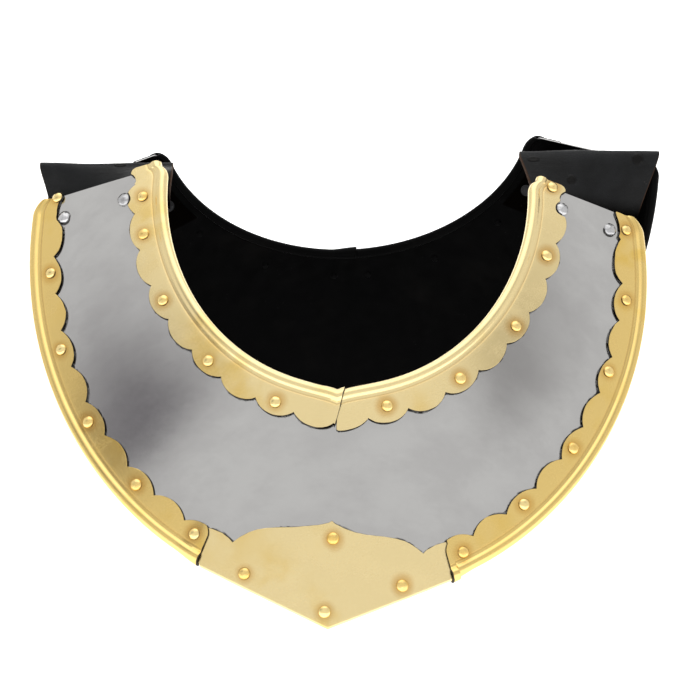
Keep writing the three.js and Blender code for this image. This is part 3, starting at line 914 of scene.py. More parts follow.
@dataclass(frozen=True)
class LeatherFinish:
    """Black dyed leather with fine pores, creases at the fold, a raw brown cut, and painted shade with
    less gloss on the parts far from the fold.
    """

    colour: tuple[float, float, float] = (0.0032, 0.0034, 0.0037)
    worn: tuple[float, float, float] = (0.0095, 0.0102, 0.0112)
    raw: tuple[float, float, float] = (0.045, 0.021, 0.010)
    # The near-black of the scars, also used as painted shade on the leather far from the fold.
    pit: tuple[float, float, float] = (0.0012, 0.0009, 0.0007)

    def build(self, effects: Effects) -> bpy.types.Material:
        """Makes the material.

        Args:
            effects: The shared shader groups.

        Returns:
            The material.
        """
        material, tree, shader = principled("black_leather")
        where = tree.add("ShaderNodeTexCoord").outputs["Object"]
        dust = use(tree, effects.dust, Vector=where)
        pores = tree.add(
            "ShaderNodeTexVoronoi", {"Vector": where, "Scale": 900.0},
            feature="DISTANCE_TO_EDGE").outputs["Distance"]
        creases = tree.noise(tree.stretched(where, (0.5, 3.0, 3.0)), 190.0, 4.0, 0.65)
        broad = tree.noise(where, 48.0, 3.0, 0.55, 4.0)
        fold = tree.band(tree.mark("fold"), 9.0, 0.5)
        worn = tree.math("MULTIPLY", tree.band(broad, 0.36, 0.62), 0.55)
        worn = tree.math("ADD", worn, tree.math("MULTIPLY", fold, 0.5), True)
        base = tree.mix(worn, self.colour, self.worn)
        cut = tree.band(tree.math("ADD", tree.mark("cut"), tree.math("MULTIPLY", broad, 0.8)),
                        0.95, 0.35)
        base = tree.mix(cut, base, self.raw)
        # Painted shade: leather further than 24 to 36 mm from the fold, inside the plates, is darkened
        # and loses most of its gloss.
        shaded = tree.band(tree.mark("fold"), 24.0, 36.0)
        base = tree.mix(shaded, base, self.pit)
        gloss = tree.math("MULTIPLY", tree.math("SUBTRACT", 1.0, shaded), 0.15)
        scar = tree.band(tree.mark("scar"), 1.2, 0.7)
        base = tree.mix(scar, base, self.pit)
        base = tree.mix(tree.math("MULTIPLY", dust["Specks"], 0.4), base, (0.13, 0.12, 0.11))
        links = tree.tree.links
        links.new(base, shader.inputs["Base Color"])
        links.new(tree.math("ADD", tree.band(creases, 0.3, 0.7, 0.4, 0.56),
                            tree.math("MULTIPLY", cut, 0.3)), shader.inputs["Roughness"])
        links.new(gloss, shader.inputs["Specular IOR Level"])
        grain = tree.math("ADD", tree.band(pores, 0.0, 0.12), tree.math("MULTIPLY", creases, 1.6))
        grain = tree.math("SUBTRACT", grain, tree.math("MULTIPLY", scar, 16.0))
        bump(tree, shader, grain, 0.0001, 0.7)
        return material


@dataclass(frozen=True)
class Finishes:
    """The materials of the whole gorget."""

    steel: bpy.types.Material
    brass: bpy.types.Material
    brass_rivet: bpy.types.Material
    steel_rivet: bpy.types.Material
    washer: bpy.types.Material
    paint: bpy.types.Material
    leather: bpy.types.Material

    @classmethod
    def build(cls) -> "Finishes":
        """Makes every material from the shared effects."""
        effects = Effects()
        return cls(
            steel=SteelFinish().build(effects),
            brass=BrassFinish().build(effects),
            brass_rivet=RivetFinish(
                "brass_rivet", (0.93, 0.74, 0.34), (0.86, 0.58, 0.17)).build(effects),
            steel_rivet=RivetFinish(
                "steel_rivet", (0.60, 0.60, 0.61), (0.45, 0.45, 0.46), rough=0.24).build(effects),
            washer=RivetFinish(
                "dull_washer", (0.03, 0.03, 0.032), (0.02, 0.02, 0.021), rough=0.5).build(effects),
            paint=PaintFinish().build(effects),
            leather=LeatherFinish().build(effects),
        )


# ---- Geometry nodes: rivets and washers -----------------------------------------------------------


def node_inputs(group: bpy.types.NodeTree, floats: dict[str, float]) -> None:
    """Declares a geometry group's inputs and its output."""
    face = group.interface
    face.new_socket("Places", in_out="INPUT", socket_type="NodeSocketGeometry")
    for key, value in floats.items():
        socket = face.new_socket(key, in_out="INPUT", socket_type="NodeSocketFloat")
        socket.default_value = value
    face.new_socket("Seed", in_out="INPUT", socket_type="NodeSocketInt")
    face.new_socket("Material", in_out="INPUT", socket_type="NodeSocketMaterial")
    face.new_socket("Pieces", in_out="OUTPUT", socket_type="NodeSocketGeometry")


def scatter(tree: Tree, source: bpy.types.Node, piece: bpy.types.NodeSocket) -> None:
    """Stands a piece on every place, turned at random about its axis, and ends the group."""
    facing = tree.add(
        "GeometryNodeInputNamedAttribute", {"Name": "facing_out"}, data_type="FLOAT_VECTOR")
    upright = tree.add(
        "FunctionNodeAlignRotationToVector", {"Vector": facing.outputs["Attribute"]}, axis="Z")
    spin = tree.add(
        "FunctionNodeRandomValue", {"Seed": source.outputs["Seed"]}, data_type="FLOAT")
    spin.inputs[2].default_value = 0.0
    spin.inputs[3].default_value = math.tau
    turn = tree.add("FunctionNodeAxisAngleToRotation", {"Angle": spin.outputs[1]})
    turned = tree.add(
        "FunctionNodeRotateRotation",
        {"Rotation": upright.outputs[0], "Rotate By": turn.outputs[0]}, rotation_space="LOCAL")
    size = tree.add(
        "FunctionNodeRandomValue",
        {"Seed": tree.math("ADD", source.outputs["Seed"], 1.0)}, data_type="FLOAT")
    size.inputs[2].default_value = 0.96
    size.inputs[3].default_value = 1.03
    spread = tree.add(
        "GeometryNodeInstanceOnPoints",
        {"Points": source.outputs["Places"], "Instance": piece, "Rotation": turned.outputs[0],
         "Scale": size.outputs[1]})
    solid = tree.add("GeometryNodeRealizeInstances", {"Geometry": spread.outputs[0]})
    finish = tree.add(
        "GeometryNodeSetMaterial",
        {"Geometry": solid.outputs[0], "Material": source.outputs["Material"]})
    tree.add("NodeGroupOutput", {"Pieces": finish.outputs[0]})


def rivet_group() -> bpy.types.NodeTree:
    """Domed rivet heads with small hammered flats, one on every point."""
    group = bpy.data.node_groups.new("domed_rivets", "GeometryNodeTree")
    node_inputs(group, {"Head Radius": 0.00275, "Dome Height": 0.0016, "Foot Depth": 0.0004,
                        "Dents": 0.0001})
    tree = Tree(group)
    source = tree.add("NodeGroupInput")
    given = source.outputs
    ball = tree.add("GeometryNodeMeshUVSphere", {"Segments": 36, "Rings": 22, "Radius": 1.0})
    split = tree.add("ShaderNodeSeparateXYZ", {0: tree.add("GeometryNodeInputPosition").outputs[0]})
    up = tree.math("MAXIMUM", split.outputs["Z"], 0.0)
    down = tree.math("MINIMUM", split.outputs["Z"], 0.0)
    # The dome mark is each point's height share, which the rivet finish reads to paint shade at the
    # foot.
    marked = tree.add(
        "GeometryNodeStoreNamedAttribute",
        {"Geometry": ball.outputs["Mesh"], "Name": "dome", "Value": up},
        data_type="FLOAT", domain="POINT")
    crown = tree.math("MULTIPLY", tree.math("POWER", up, 0.82), given["Dome Height"])
    foot = tree.math("MULTIPLY", down, given["Foot Depth"])
    flats = tree.add(
        "ShaderNodeTexVoronoi",
        {"Vector": tree.add("GeometryNodeInputPosition").outputs[0], "Scale": 2.1},
        feature="SMOOTH_F1")
    dent = tree.math("MULTIPLY", flats.outputs["Distance"], given["Dents"])
    keep = tree.math("SUBTRACT", 1.0, tree.math("DIVIDE", dent, given["Head Radius"]))
    wide = tree.math("MULTIPLY", given["Head Radius"], keep)
    shaped = tree.add("ShaderNodeCombineXYZ", {
        "X": tree.math("MULTIPLY", split.outputs["X"], wide),
        "Y": tree.math("MULTIPLY", split.outputs["Y"], wide),
        "Z": tree.math("SUBTRACT", tree.math("ADD", crown, foot), dent)})
    moved = tree.add(
        "GeometryNodeSetPosition",
        {"Geometry": marked.outputs[0], "Position": shaped.outputs[0]})
    smooth = tree.add("GeometryNodeSetShadeSmooth", {"Geometry": moved.outputs[0]})
    scatter(tree, source, smooth.outputs[0])
    return group


def washer_group() -> bpy.types.NodeTree:
    """Flat rings, one on every point."""
    group = bpy.data.node_groups.new("flat_washers", "GeometryNodeTree")
    node_inputs(group, {"Radius": 0.0033, "Hole": 0.0018, "Thickness": 0.0008})
    tree = Tree(group)
    source = tree.add("NodeGroupInput")
    given = source.outputs
    middle = tree.math("MULTIPLY", tree.math("ADD", given["Radius"], given["Hole"]), 0.5)
    width = tree.math("SUBTRACT", given["Radius"], given["Hole"])
    circle = tree.add("GeometryNodeCurvePrimitiveCircle", {"Resolution": 36, "Radius": middle})
    section = tree.add(
        "GeometryNodeCurvePrimitiveQuadrilateral", {"Width": width, "Height": given["Thickness"]})
    rounded = tree.add(
        "GeometryNodeFilletCurve", {"Curve": section.outputs[0], "Radius": 0.00014, "Count": 2},
        mode="POLY")
    ring = tree.add(
        "GeometryNodeCurveToMesh",
        {"Curve": circle.outputs[0], "Profile Curve": rounded.outputs[0]})
    marked = tree.add(
        "GeometryNodeStoreNamedAttribute",
        {"Geometry": ring.outputs[0], "Name": "dome", "Value": 1.0},
        data_type="FLOAT", domain="POINT")
    scatter(tree, source, marked.outputs[0])
    return group


@dataclass(frozen=True)
class Places:
    """Points with the ways they face, in millimetres."""

    points: np.ndarray
    facing: np.ndarray

    @classmethod
    def on(cls, surface: Surface, flat: Sequence, height: float, inside: bool = False) -> "Places":
        """Places over points of a plate's front view, facing out of or into the gorget."""
        flat = np.array(flat, float)
        ways = np.array([surface.way_out(x, z) for x, z in flat])
        return cls(surface.lift(flat, height), -ways if inside else ways)

    def plus(self, other: "Places") -> "Places":
        """Both sets of places."""
        return Places(np.concatenate([self.points, other.points]),
                      np.concatenate([self.facing, other.facing]))


def repeat(name: str, places: Places, group: bpy.types.NodeTree, material: bpy.types.Material,
           **inputs: float) -> bpy.types.Object:
    """Runs a scattering group over places and keeps its result as a plain mesh.

    Args:
        name: The new piece's name.
        places: Where the pieces stand.
        group: The geometry node group.
        material: Their material.
        inputs: The group's other inputs by name, with _ for a space.

    Returns:
        The piece.
    """
    seeds = bpy.data.meshes.new(f"{name}_places")
    seeds.from_pydata((places.points * MM).tolist(), [], [])
    layer = seeds.attributes.new("facing_out", "FLOAT_VECTOR", "POINT")
    layer.data.foreach_set("vector", places.facing.astype(np.float32).ravel())
    holder = bpy.data.objects.new(f"{name}_places", seeds)
    bpy.context.scene.collection.objects.link(holder)
    modifier = holder.modifiers.new("scatter", "NODES")
    modifier.node_group = group
    values = {key.replace("_", " "): value for key, value in inputs.items()}
    values |= {"Seed": SEED, "Material": material}
    for item in group.interface.items_tree:
        if item.item_type == "SOCKET" and item.in_out == "INPUT" and item.name in values:
            modifier[item.identifier] = values[item.name]
    shown = holder.evaluated_get(bpy.context.evaluated_depsgraph_get())
    mesh = bpy.data.meshes.new_from_object(shown)
    mesh.name = name
    holder.modifiers.remove(modifier)
    bpy.data.objects.remove(holder)
    bpy.data.meshes.remove(seeds)
    piece = bpy.data.objects.new(name, mesh)
    bpy.context.scene.collection.objects.link(piece)
    return piece


# ---- Sub-assemblies of a plate --------------------------------------------------------------------


def lobe_width(trim: Scallop, s: np.ndarray, rng: np.random.Generator) -> np.ndarray:
    """The width of a scalloped trim: round lobes that meet in notches, no two quite alike."""
    rise = trim.peak - trim.valley
    radius = (trim.pitch**2 / 4 + rise**2) / (2 * rise)
    lobe, along = np.divmod(s - trim.first, trim.pitch)
    along = along - trim.pitch / 2
    uneven = rng.uniform(-0.35, 0.35, 64)[lobe.astype(int) % 64]
    bend = np.sqrt(np.maximum(radius**2 - along**2, 0)) - (radius - rise)
    return trim.valley + bend * (1 + uneven / rise)


def lobe_stations(trim: Scallop, start: float, corner: float, each: int) -> np.ndarray:
    """Distances along an edge, closest together at the notches and at both ends."""
    share = 0.5 - 0.5 * np.cos(np.linspace(0, math.pi, each, endpoint=False))
    first_lobe = math.floor((start - trim.first) / trim.pitch)
    last_lobe = math.ceil((corner - trim.first) / trim.pitch)
    starts = trim.first + np.arange(first_lobe, last_lobe + 1) * trim.pitch
    s = (starts[:, None] + share * trim.pitch).ravel()
    s = s[(s > start + 0.2) & (s < corner - 0.2)]
    lead = start + (0.5 - 0.5 * np.cos(np.linspace(0, math.pi, 9))) * 5.0
    s = np.concatenate([lead, s])
    ending = corner + np.sin(np.linspace(0, math.pi / 2, 13)) * (CORNER_REACH - 0.02)
    return np.unique(np.concatenate([s, ending]).round(4))


@dataclass(frozen=True)
class TrimEnd:
    """How a trim's lower end is cut and how far it rides up on what lies under it."""

    start: float
    slant: float
    ride: float
    ride_over: float
    rounding: float


@dataclass(frozen=True)
class BrassTrim:
    """One scalloped brass strip, rolled round a plate's edge."""

    surface: Surface
    edge: HalfEdge
    trim: Scallop
    end: TrimEnd
    studs: tuple[tuple[float, float], ...]
    seed: int
    stations_each: int = 20
    lips: tuple[float, ...] = (0.0, 0.14, 0.4, 0.9, 1.7)
    flat_columns: int = 6
    flat_end: float = 7.9
    groove_at: float = 7.1
    stud_clearance: float = 3.7
    past_arm: float = 0.0
    arm_plain: float = 9.0
    arm_ease: float = 6.0
    lobe_slack: float = 1.0
    arm_corner: float = 3.2
    seen_inside: bool = False
    golden: float = 0.0
    bead_from: float = 42.0
    bead_to: float = 300.0
    dark_angle: float = 205.0
    shoulder: tuple[tuple[float, float], ...] = (
        (7.5, 1.77), (7.3, 1.72), (7.1, 1.65), (6.9, 1.7), (6.6, 1.74), (6.1, 1.77), (5.6, 1.86))

    def rivet_places(self) -> np.ndarray:
        """Places of the rivets in the front view."""
        lobes, insets = np.array(self.trim.rivets).T
        points, inward = self.edge.frame(self.trim.first + lobes * self.trim.pitch)
        return points + inward * insets[:, None]

    def widths(self, s: np.ndarray) -> np.ndarray:
        """The strip's width at each station, with its notches for the strap rivets."""
        width = lobe_width(self.trim, s, np.random.default_rng(self.seed))
        points, inward = self.edge.frame(s)
        for stud in self.studs:
            to_stud = np.array(stud) - points
            along = (to_stud * inward).sum(1)
            beside = (to_stud**2).sum(1) - along**2
            deep = np.sqrt(np.maximum(self.stud_clearance**2 - beside, 0))
            cut = (beside < self.stud_clearance**2) & (along - deep < width)
            width = np.where(cut, along - deep, width)
        to_arm = self.edge.length + self.past_arm - s
        widest = self.trim.peak + self.lobe_slack
        limit = np.interp(
            to_arm, (self.arm_plain, self.arm_plain + self.arm_ease), (self.trim.valley, widest))
        width = np.minimum(width, limit)
        for distance, radius in ((s - self.end.start, self.end.rounding), (to_arm, self.arm_corner)):
            near = np.clip(radius - distance, 0, radius)
            width = width - (radius - np.sqrt(radius**2 - near**2 + ROOT_GUARD))
        return width

    def outline(self) -> np.ndarray:
        """The scalloped edge in the front view, as points."""
        s = self.stations()
        points, inward = self.edge.frame(s)
        return points + inward * self.widths(s)[:, None]

    def stations(self) -> np.ndarray:
        """Distances along the edge."""
        s = lobe_stations(
            self.trim, self.end.start, self.edge.length - CORNER_REACH, self.stations_each)
        beyond = self.edge.length + self.past_arm * np.linspace(0.3, 1, 5)
        return np.concatenate([s, beyond]) if self.past_arm else s

    def section(self, width: np.ndarray) -> tuple[np.ndarray, np.ndarray]:
        """The outer path of the strip's section at each station, as insets and heights."""
        n = len(width)
        flats = np.linspace(0, 1, self.flat_columns)[1:]
        lips = width[:, None] - np.array(self.lips)
        flat = lips[:, -1:] + (self.flat_end - lips[:, -1:]) * flats
        angles = np.radians(np.arange(self.bead_from, self.bead_to + 1, 12))
        shoulder = np.array(self.shoulder)
        fixed = np.concatenate([shoulder[:, 0], BEAD_RADIUS + BEAD_RADIUS * np.cos(angles)])
        rising = np.concatenate([shoulder[:, 1], BEAD_RADIUS * np.sin(angles)])
        insets = np.concatenate([lips, flat, np.tile(fixed, (n, 1))], 1)
        level = np.full((n, lips.shape[1] + flat.shape[1]), TRIM_TOP)
        level[:, 0] -= 0.1
        return insets, np.concatenate([level, np.tile(rising, (n, 1))], 1)

    def build(self, name: str, finishes: Finishes) -> bpy.types.Object:
        """Makes the strip.

        Args:
            name: The piece's name.
            finishes: The gorget's materials.

        Returns:
            The piece.
        """
        s = self.stations()
        width = self.widths(s)
        insets, heights = self.section(width)
        inner_insets, inner_heights = offset_path(insets, heights, BRASS)
        share = np.clip(1 - (s - self.end.start) / self.end.ride_over, 0, 1)
        ride = self.end.ride * share**2 * (3 - 2 * share)
        faces = []
        for path_insets, path_heights in ((insets, heights), (inner_insets, inner_heights)):
            over = np.where(path_insets > BEAD_RADIUS * 2, 1.0, path_heights / BEAD_RADIUS)
            raised = path_heights + ride[:, None] * np.clip(over, -1, 1)
            out = np.clip(1 - path_insets / BEAD_RADIUS, 0, 1) * ride[:, None]
            away = path_insets - out
            lead = self.end.slant * (1 - np.clip(path_insets / width[:, None], 0, 1))
            stations = s[:, None] - lead * np.exp(-(s - self.end.start) / 5.0)[:, None]
            points, inward = self.edge.frame(stations.ravel())
            flat = (points + inward * away.ravel()[:, None]).reshape(*insets.shape, 2)
            faces.append((self.surface.lift(flat, raised), flat))
        (outer, flat), (inner, _) = faces
        lip = width[:, None] - insets
        lip = np.minimum(lip, (s - self.end.start)[:, None] + np.zeros_like(lip))
        columns_before_bead = len(self.lips) + self.flat_columns - 1 + len(self.shoulder)
        dark = columns_before_bead + int((self.dark_angle - self.bead_from) / 12)
        grid = Grid(
            outer, inner,
            marks={
                "lip": np.abs(lip),
                "rivet": nearest(flat, self.rivet_places()),
                "groove": np.abs(insets - self.groove_at),
                "golden": np.full(insets.shape, self.golden),
            },
            along=np.tile(s[:, None], (1, insets.shape[1])), across=insets,
            bulge=0.16, dark_from=dark, wall_material=int(self.seen_inside))
        piece = build_sheet(name, grid, [finishes.brass, finishes.paint])
        return piece


@dataclass(frozen=True)
class TipPlate:
    """The plain brass plate over the point, hemmed round the steel's edge."""

    surface: Surface
    under: float = 5.0
    tuck_in: float = 0.9
    hem: tuple[tuple[float, float], ...] = (
        (1.1, 1.8), (0.62, 1.7), (0.25, 1.35), (0.06, 0.8), (0.0, 0.1), (0.0, -0.7), (0.05, -1.4),
        (0.25, -1.9), (0.62, -2.15), (1.1, -2.2), (2.0, -2.2), (3.0, -2.2))
    lips: tuple[float, ...] = (0.0, 0.14, 0.4, 0.9, 1.7)
    flat_columns: int = 26

    def half(self, side: Side) -> tuple[np.ndarray, np.ndarray]:
        """Stations and widths along one half of the rim, from the middle."""
        shape = self.surface.shape
        edge = self.surface.rim[side]
        crest = np.array(shape.crests[side])
        x = np.unique(np.concatenate([np.linspace(0, crest[-1, 0], 90), crest[:, 0]]))
        z = np.interp(x, crest[:, 0], crest[:, 1])
        t = np.arctan2(x, shape.rim.centre - z) / shape.rim.sweep[side]
        points, s = edge.at(t)
        width = np.hypot(points[:, 0] - side.value * x, points[:, 1] - z)
        keep = s < shape.rim_start[side] + self.under
        return s[keep], width[keep]

    def outline(self) -> np.ndarray:
        """The crest in the front view, as points, up to where the trims cover it."""
        points = []
        for side in Side:
            s, width = self.half(side)
            shown = s < self.surface.shape.rim_start[side] + 1
            at, inward = self.surface.rim[side].frame(s[shown])
            points.append(at + inward * width[shown, None])
        return np.concatenate(points)

    def build(self, name: str, rivets: np.ndarray, finishes: Finishes) -> bpy.types.Object:
        """Makes the plate.

        Args:
            name: The piece's name.
            rivets: Its rivets in the front view.
            finishes: The gorget's materials.

        Returns:
            The piece.
        """
        points, inwards, widths, runs, tucks = [], [], [], [], []
        for side in Side:
            s, width = self.half(side)
            at, inward = self.surface.rim[side].frame(s)
            past = np.clip(s - self.surface.shape.rim_start[side] + 1, 0, 1)
            rows = slice(None, None, -1) if side is Side.LEFT else slice(1, None)
            points.append(at[rows])
            inwards.append(inward[rows])
            widths.append(width[rows])
            runs.append(side.value * s[rows])
            tucks.append(past[rows] * self.tuck_in)
        points, inwards = np.concatenate(points), np.concatenate(inwards)
        width, run, tuck = np.concatenate(widths), np.concatenate(runs), np.concatenate(tucks)
        hem = np.array(self.hem)
        lips = width[:, None] - np.array(self.lips)
        share = np.linspace(0, 1, self.flat_columns)[1:-1]
        flat_part = lips[:, -1:] + (hem[0, 0] - lips[:, -1:]) * share
        n = len(width)
        insets = np.concatenate([lips, flat_part, np.tile(hem[:, 0], (n, 1))], 1)
        heights = np.concatenate(
            [np.full((n, lips.shape[1] + flat_part.shape[1]), TRIM_TOP),
             np.tile(hem[:, 1], (n, 1))], 1)
        heights[:, 0] -= 0.1
        inner_insets, inner_heights = offset_path(insets, heights, BRASS)
        insets = insets + tuck[:, None] * (insets < hem[0, 0] + 0.5)
        faces = []
        for path_insets, path_heights in ((insets, heights), (inner_insets, inner_heights)):
            flat = points[:, None] + inwards[:, None] * path_insets[..., None]
            faces.append(self.surface.lift(flat, path_heights))
        flat = points[:, None] + inwards[:, None] * insets[..., None]
        grid = Grid(
            faces[0], faces[1],
            marks={
                "lip": np.abs(width[:, None] - insets),
                "rivet": nearest(flat, rivets),
                "groove": np.full(insets.shape, 9.0),
                "golden": np.zeros(insets.shape),
            },
            along=np.tile(run[:, None], (1, insets.shape[1])), across=insets,
            bulge=0.16, dark_from=insets.shape[1] - 5)
        return build_sheet(name, grid, [finishes.brass, finishes.paint])


@dataclass(frozen=True)
class SteelPlate:
    """The crescent of steel sheet under the brass."""

    surface: Surface
    rows_each: int = 190
    columns: int = 78
    edge_in: float = 1.2

    def face(self, height: float) -> tuple[np.ndarray, np.ndarray, np.ndarray, np.ndarray]:
        """One face of the sheet: points, front-view points, and lengths along and across."""
        rows, runs = [], []
        for side in (Side.LEFT, Side.RIGHT):
            neck, rim = self.surface.neck[side], self.surface.rim[side]
            share = np.sin(np.linspace(0, math.pi / 2, self.rows_each))
            inner, neck_in = neck.frame(neck.length * share)
            outer, rim_in = rim.frame(rim.length * share)
            shoulder = np.clip((share - 0.16) / 0.06, 0, 1)[:, None]
            inner = inner + neck_in * BEAD_RADIUS
            outer = outer + rim_in * (self.edge_in + (BEAD_RADIUS - self.edge_in) * shoulder)
            across = np.linspace(0, 1, self.columns)[None, :, None]
            block = inner[:, None] * (1 - across) + outer[:, None] * across
            run = side.value * share * 0.5 * (neck.length + rim.length)
            rows.append(block[::-1] if side is Side.LEFT else block[1:])
            runs.append(run[::-1] if side is Side.LEFT else run[1:])
        flat = np.concatenate(rows)
        run = np.concatenate(runs)
        steps = np.linalg.norm(np.diff(flat, axis=1), axis=2)
        across = np.concatenate([np.zeros((len(flat), 1)), np.cumsum(steps, 1)], 1)
        return (self.surface.lift(flat, height), flat,
                np.tile(run[:, None], (1, self.columns)), across)

    def build(self, name: str, outlines: np.ndarray, finishes: Finishes) -> bpy.types.Object:
        """Makes the plate.

        Args:
            name: The piece's name.
            outlines: The brass outlines over it, in the front view.
            finishes: The gorget's materials.

        Returns:
            The piece.
        """
        outer, flat, along, across = self.face(STEEL / 2)
        inner = self.face(-STEEL / 2)[0]
        grid = Grid(outer, inner, marks={"seam": nearest(flat, outlines)},
                    along=along, across=across, bulge=0.2)
        return build_sheet(name, grid, [finishes.steel, finishes.paint])


def ring(centre: tuple[float, float], radius: float = 3.3, count: int = 40) -> np.ndarray:
    """Points of a rivet's outline in the front view."""
    angles = np.linspace(0, math.tau, count, endpoint=False)
    return np.array(centre) + radius * np.stack([np.cos(angles), np.sin(angles)], 1)


@dataclass(frozen=True)
class Plate:
    """One plate of the gorget with its brass and brass rivets."""

    shape: PlateShape
    own_rivet_nodes: bool
    overlap: float = 4.2
    ride: float = 1.15
    past_arm: float = 2.6
    front_dark: float = 205.0
    back_dark: float = 112.0
    rim_golden: float = 0.7

    def trims(self, surface: Surface) -> dict[str, BrassTrim]:
        """The four scalloped strips by name."""
        inside = self.shape.facing > 0
        dark_angle = self.back_dark if inside else self.front_dark
        made = {}
        for side in Side:
            left = side is Side.LEFT
            neck_end = TrimEnd(
                start=0.4 if left else 0.15, slant=self.overlap if left else 0.0,
                ride=self.ride if left else 0.0, ride_over=11.0, rounding=1.2)
            rim_end = TrimEnd(
                start=self.shape.rim_start[side], slant=1.2, ride=self.ride, ride_over=13.0,
                rounding=4.5)
            for kind, edge, trim, end, seed in (
                    ("neck_trim", surface.neck[side], self.shape.neck_trims[side], neck_end, 3),
                    ("edge_trim", surface.rim[side], self.shape.rim_trims[side], rim_end, 5)):
                neck = kind == "neck_trim"
                past_arm = self.past_arm if neck and not inside else 0.0
                made[f"{kind}_{side.word}"] = BrassTrim(
                    surface, edge, trim, end, self.shape.studs[side], SEED + seed + side.value,
                    past_arm=past_arm, dark_angle=dark_angle, seen_inside=inside,
                    golden=0.0 if neck else self.rim_golden)
        return made

    def build(self, finishes: Finishes, rivets: bpy.types.NodeTree) -> Surface:
        """Makes the plate's pieces, fastens them to the frame and reports them.

        Args:
            finishes: The gorget's materials.
            rivets: The rivet group.

        Returns:
            The plate's surface, for the straps.
        """
        name = self.shape.name
        surface = Surface(self.shape)
        trims = self.trims(surface)
        tip = TipPlate(surface)
        tip_rivets = np.array(self.shape.tip_rivets, float)
        outlines = np.concatenate([
            tip.outline(), *(trim.outline() for trim in trims.values()),
            *(ring(stud) for side in Side for stud in self.shape.studs[side])])
        steel = SteelPlate(surface).build(f"{name}_steel_sheet", outlines, finishes)
        register(steel, [f"{name}_plate"])
        heads, nodes = [tip_rivets], [f"{name}_tip_plate_rivet_{i + 1}" for i in range(4)]
        for key, trim in trims.items():
            piece = trim.build(f"{name}_{key}_strip", finishes)
            register(piece, [f"{name}_{key}"])
            heads.append(trim.rivet_places())
            nodes += [f"{name}_{key}_rivet_{i + 1}" for i in range(len(trim.trim.rivets))]
        brass_tip = tip.build(f"{name}_tip_sheet", tip_rivets, finishes)
        register(brass_tip, [f"{name}_tip_plate"])
        flat = np.concatenate(heads)
        domes = repeat(
            f"{name}_brass_rivets", Places.on(surface, flat, TRIM_TOP - 0.02), rivets,
            finishes.brass_rivet, Head_Radius=0.00305, Dome_Height=0.0019, Dents=0.00018)
        register(domes, nodes if self.own_rivet_nodes else [])
        ends = repeat(
            f"{name}_brass_rivet_ends", Places.on(surface, flat, -STEEL / 2, inside=True), rivets,
            finishes.paint, Head_Radius=0.0019, Dome_Height=0.0008, Dents=0.00022)
        register(ends, [])
        return surface


# ---- Straps ---------------------------------------------------------------------------------------


@dataclass(frozen=True)
class StrapShape:
    """The fold of one strap over a shoulder, and the marks on its leather."""

    side: Side
    neck: float
    shoulder: float
    height: float
    scars: tuple[tuple[float, float, float, float], ...]
    wave: float
    seed: int


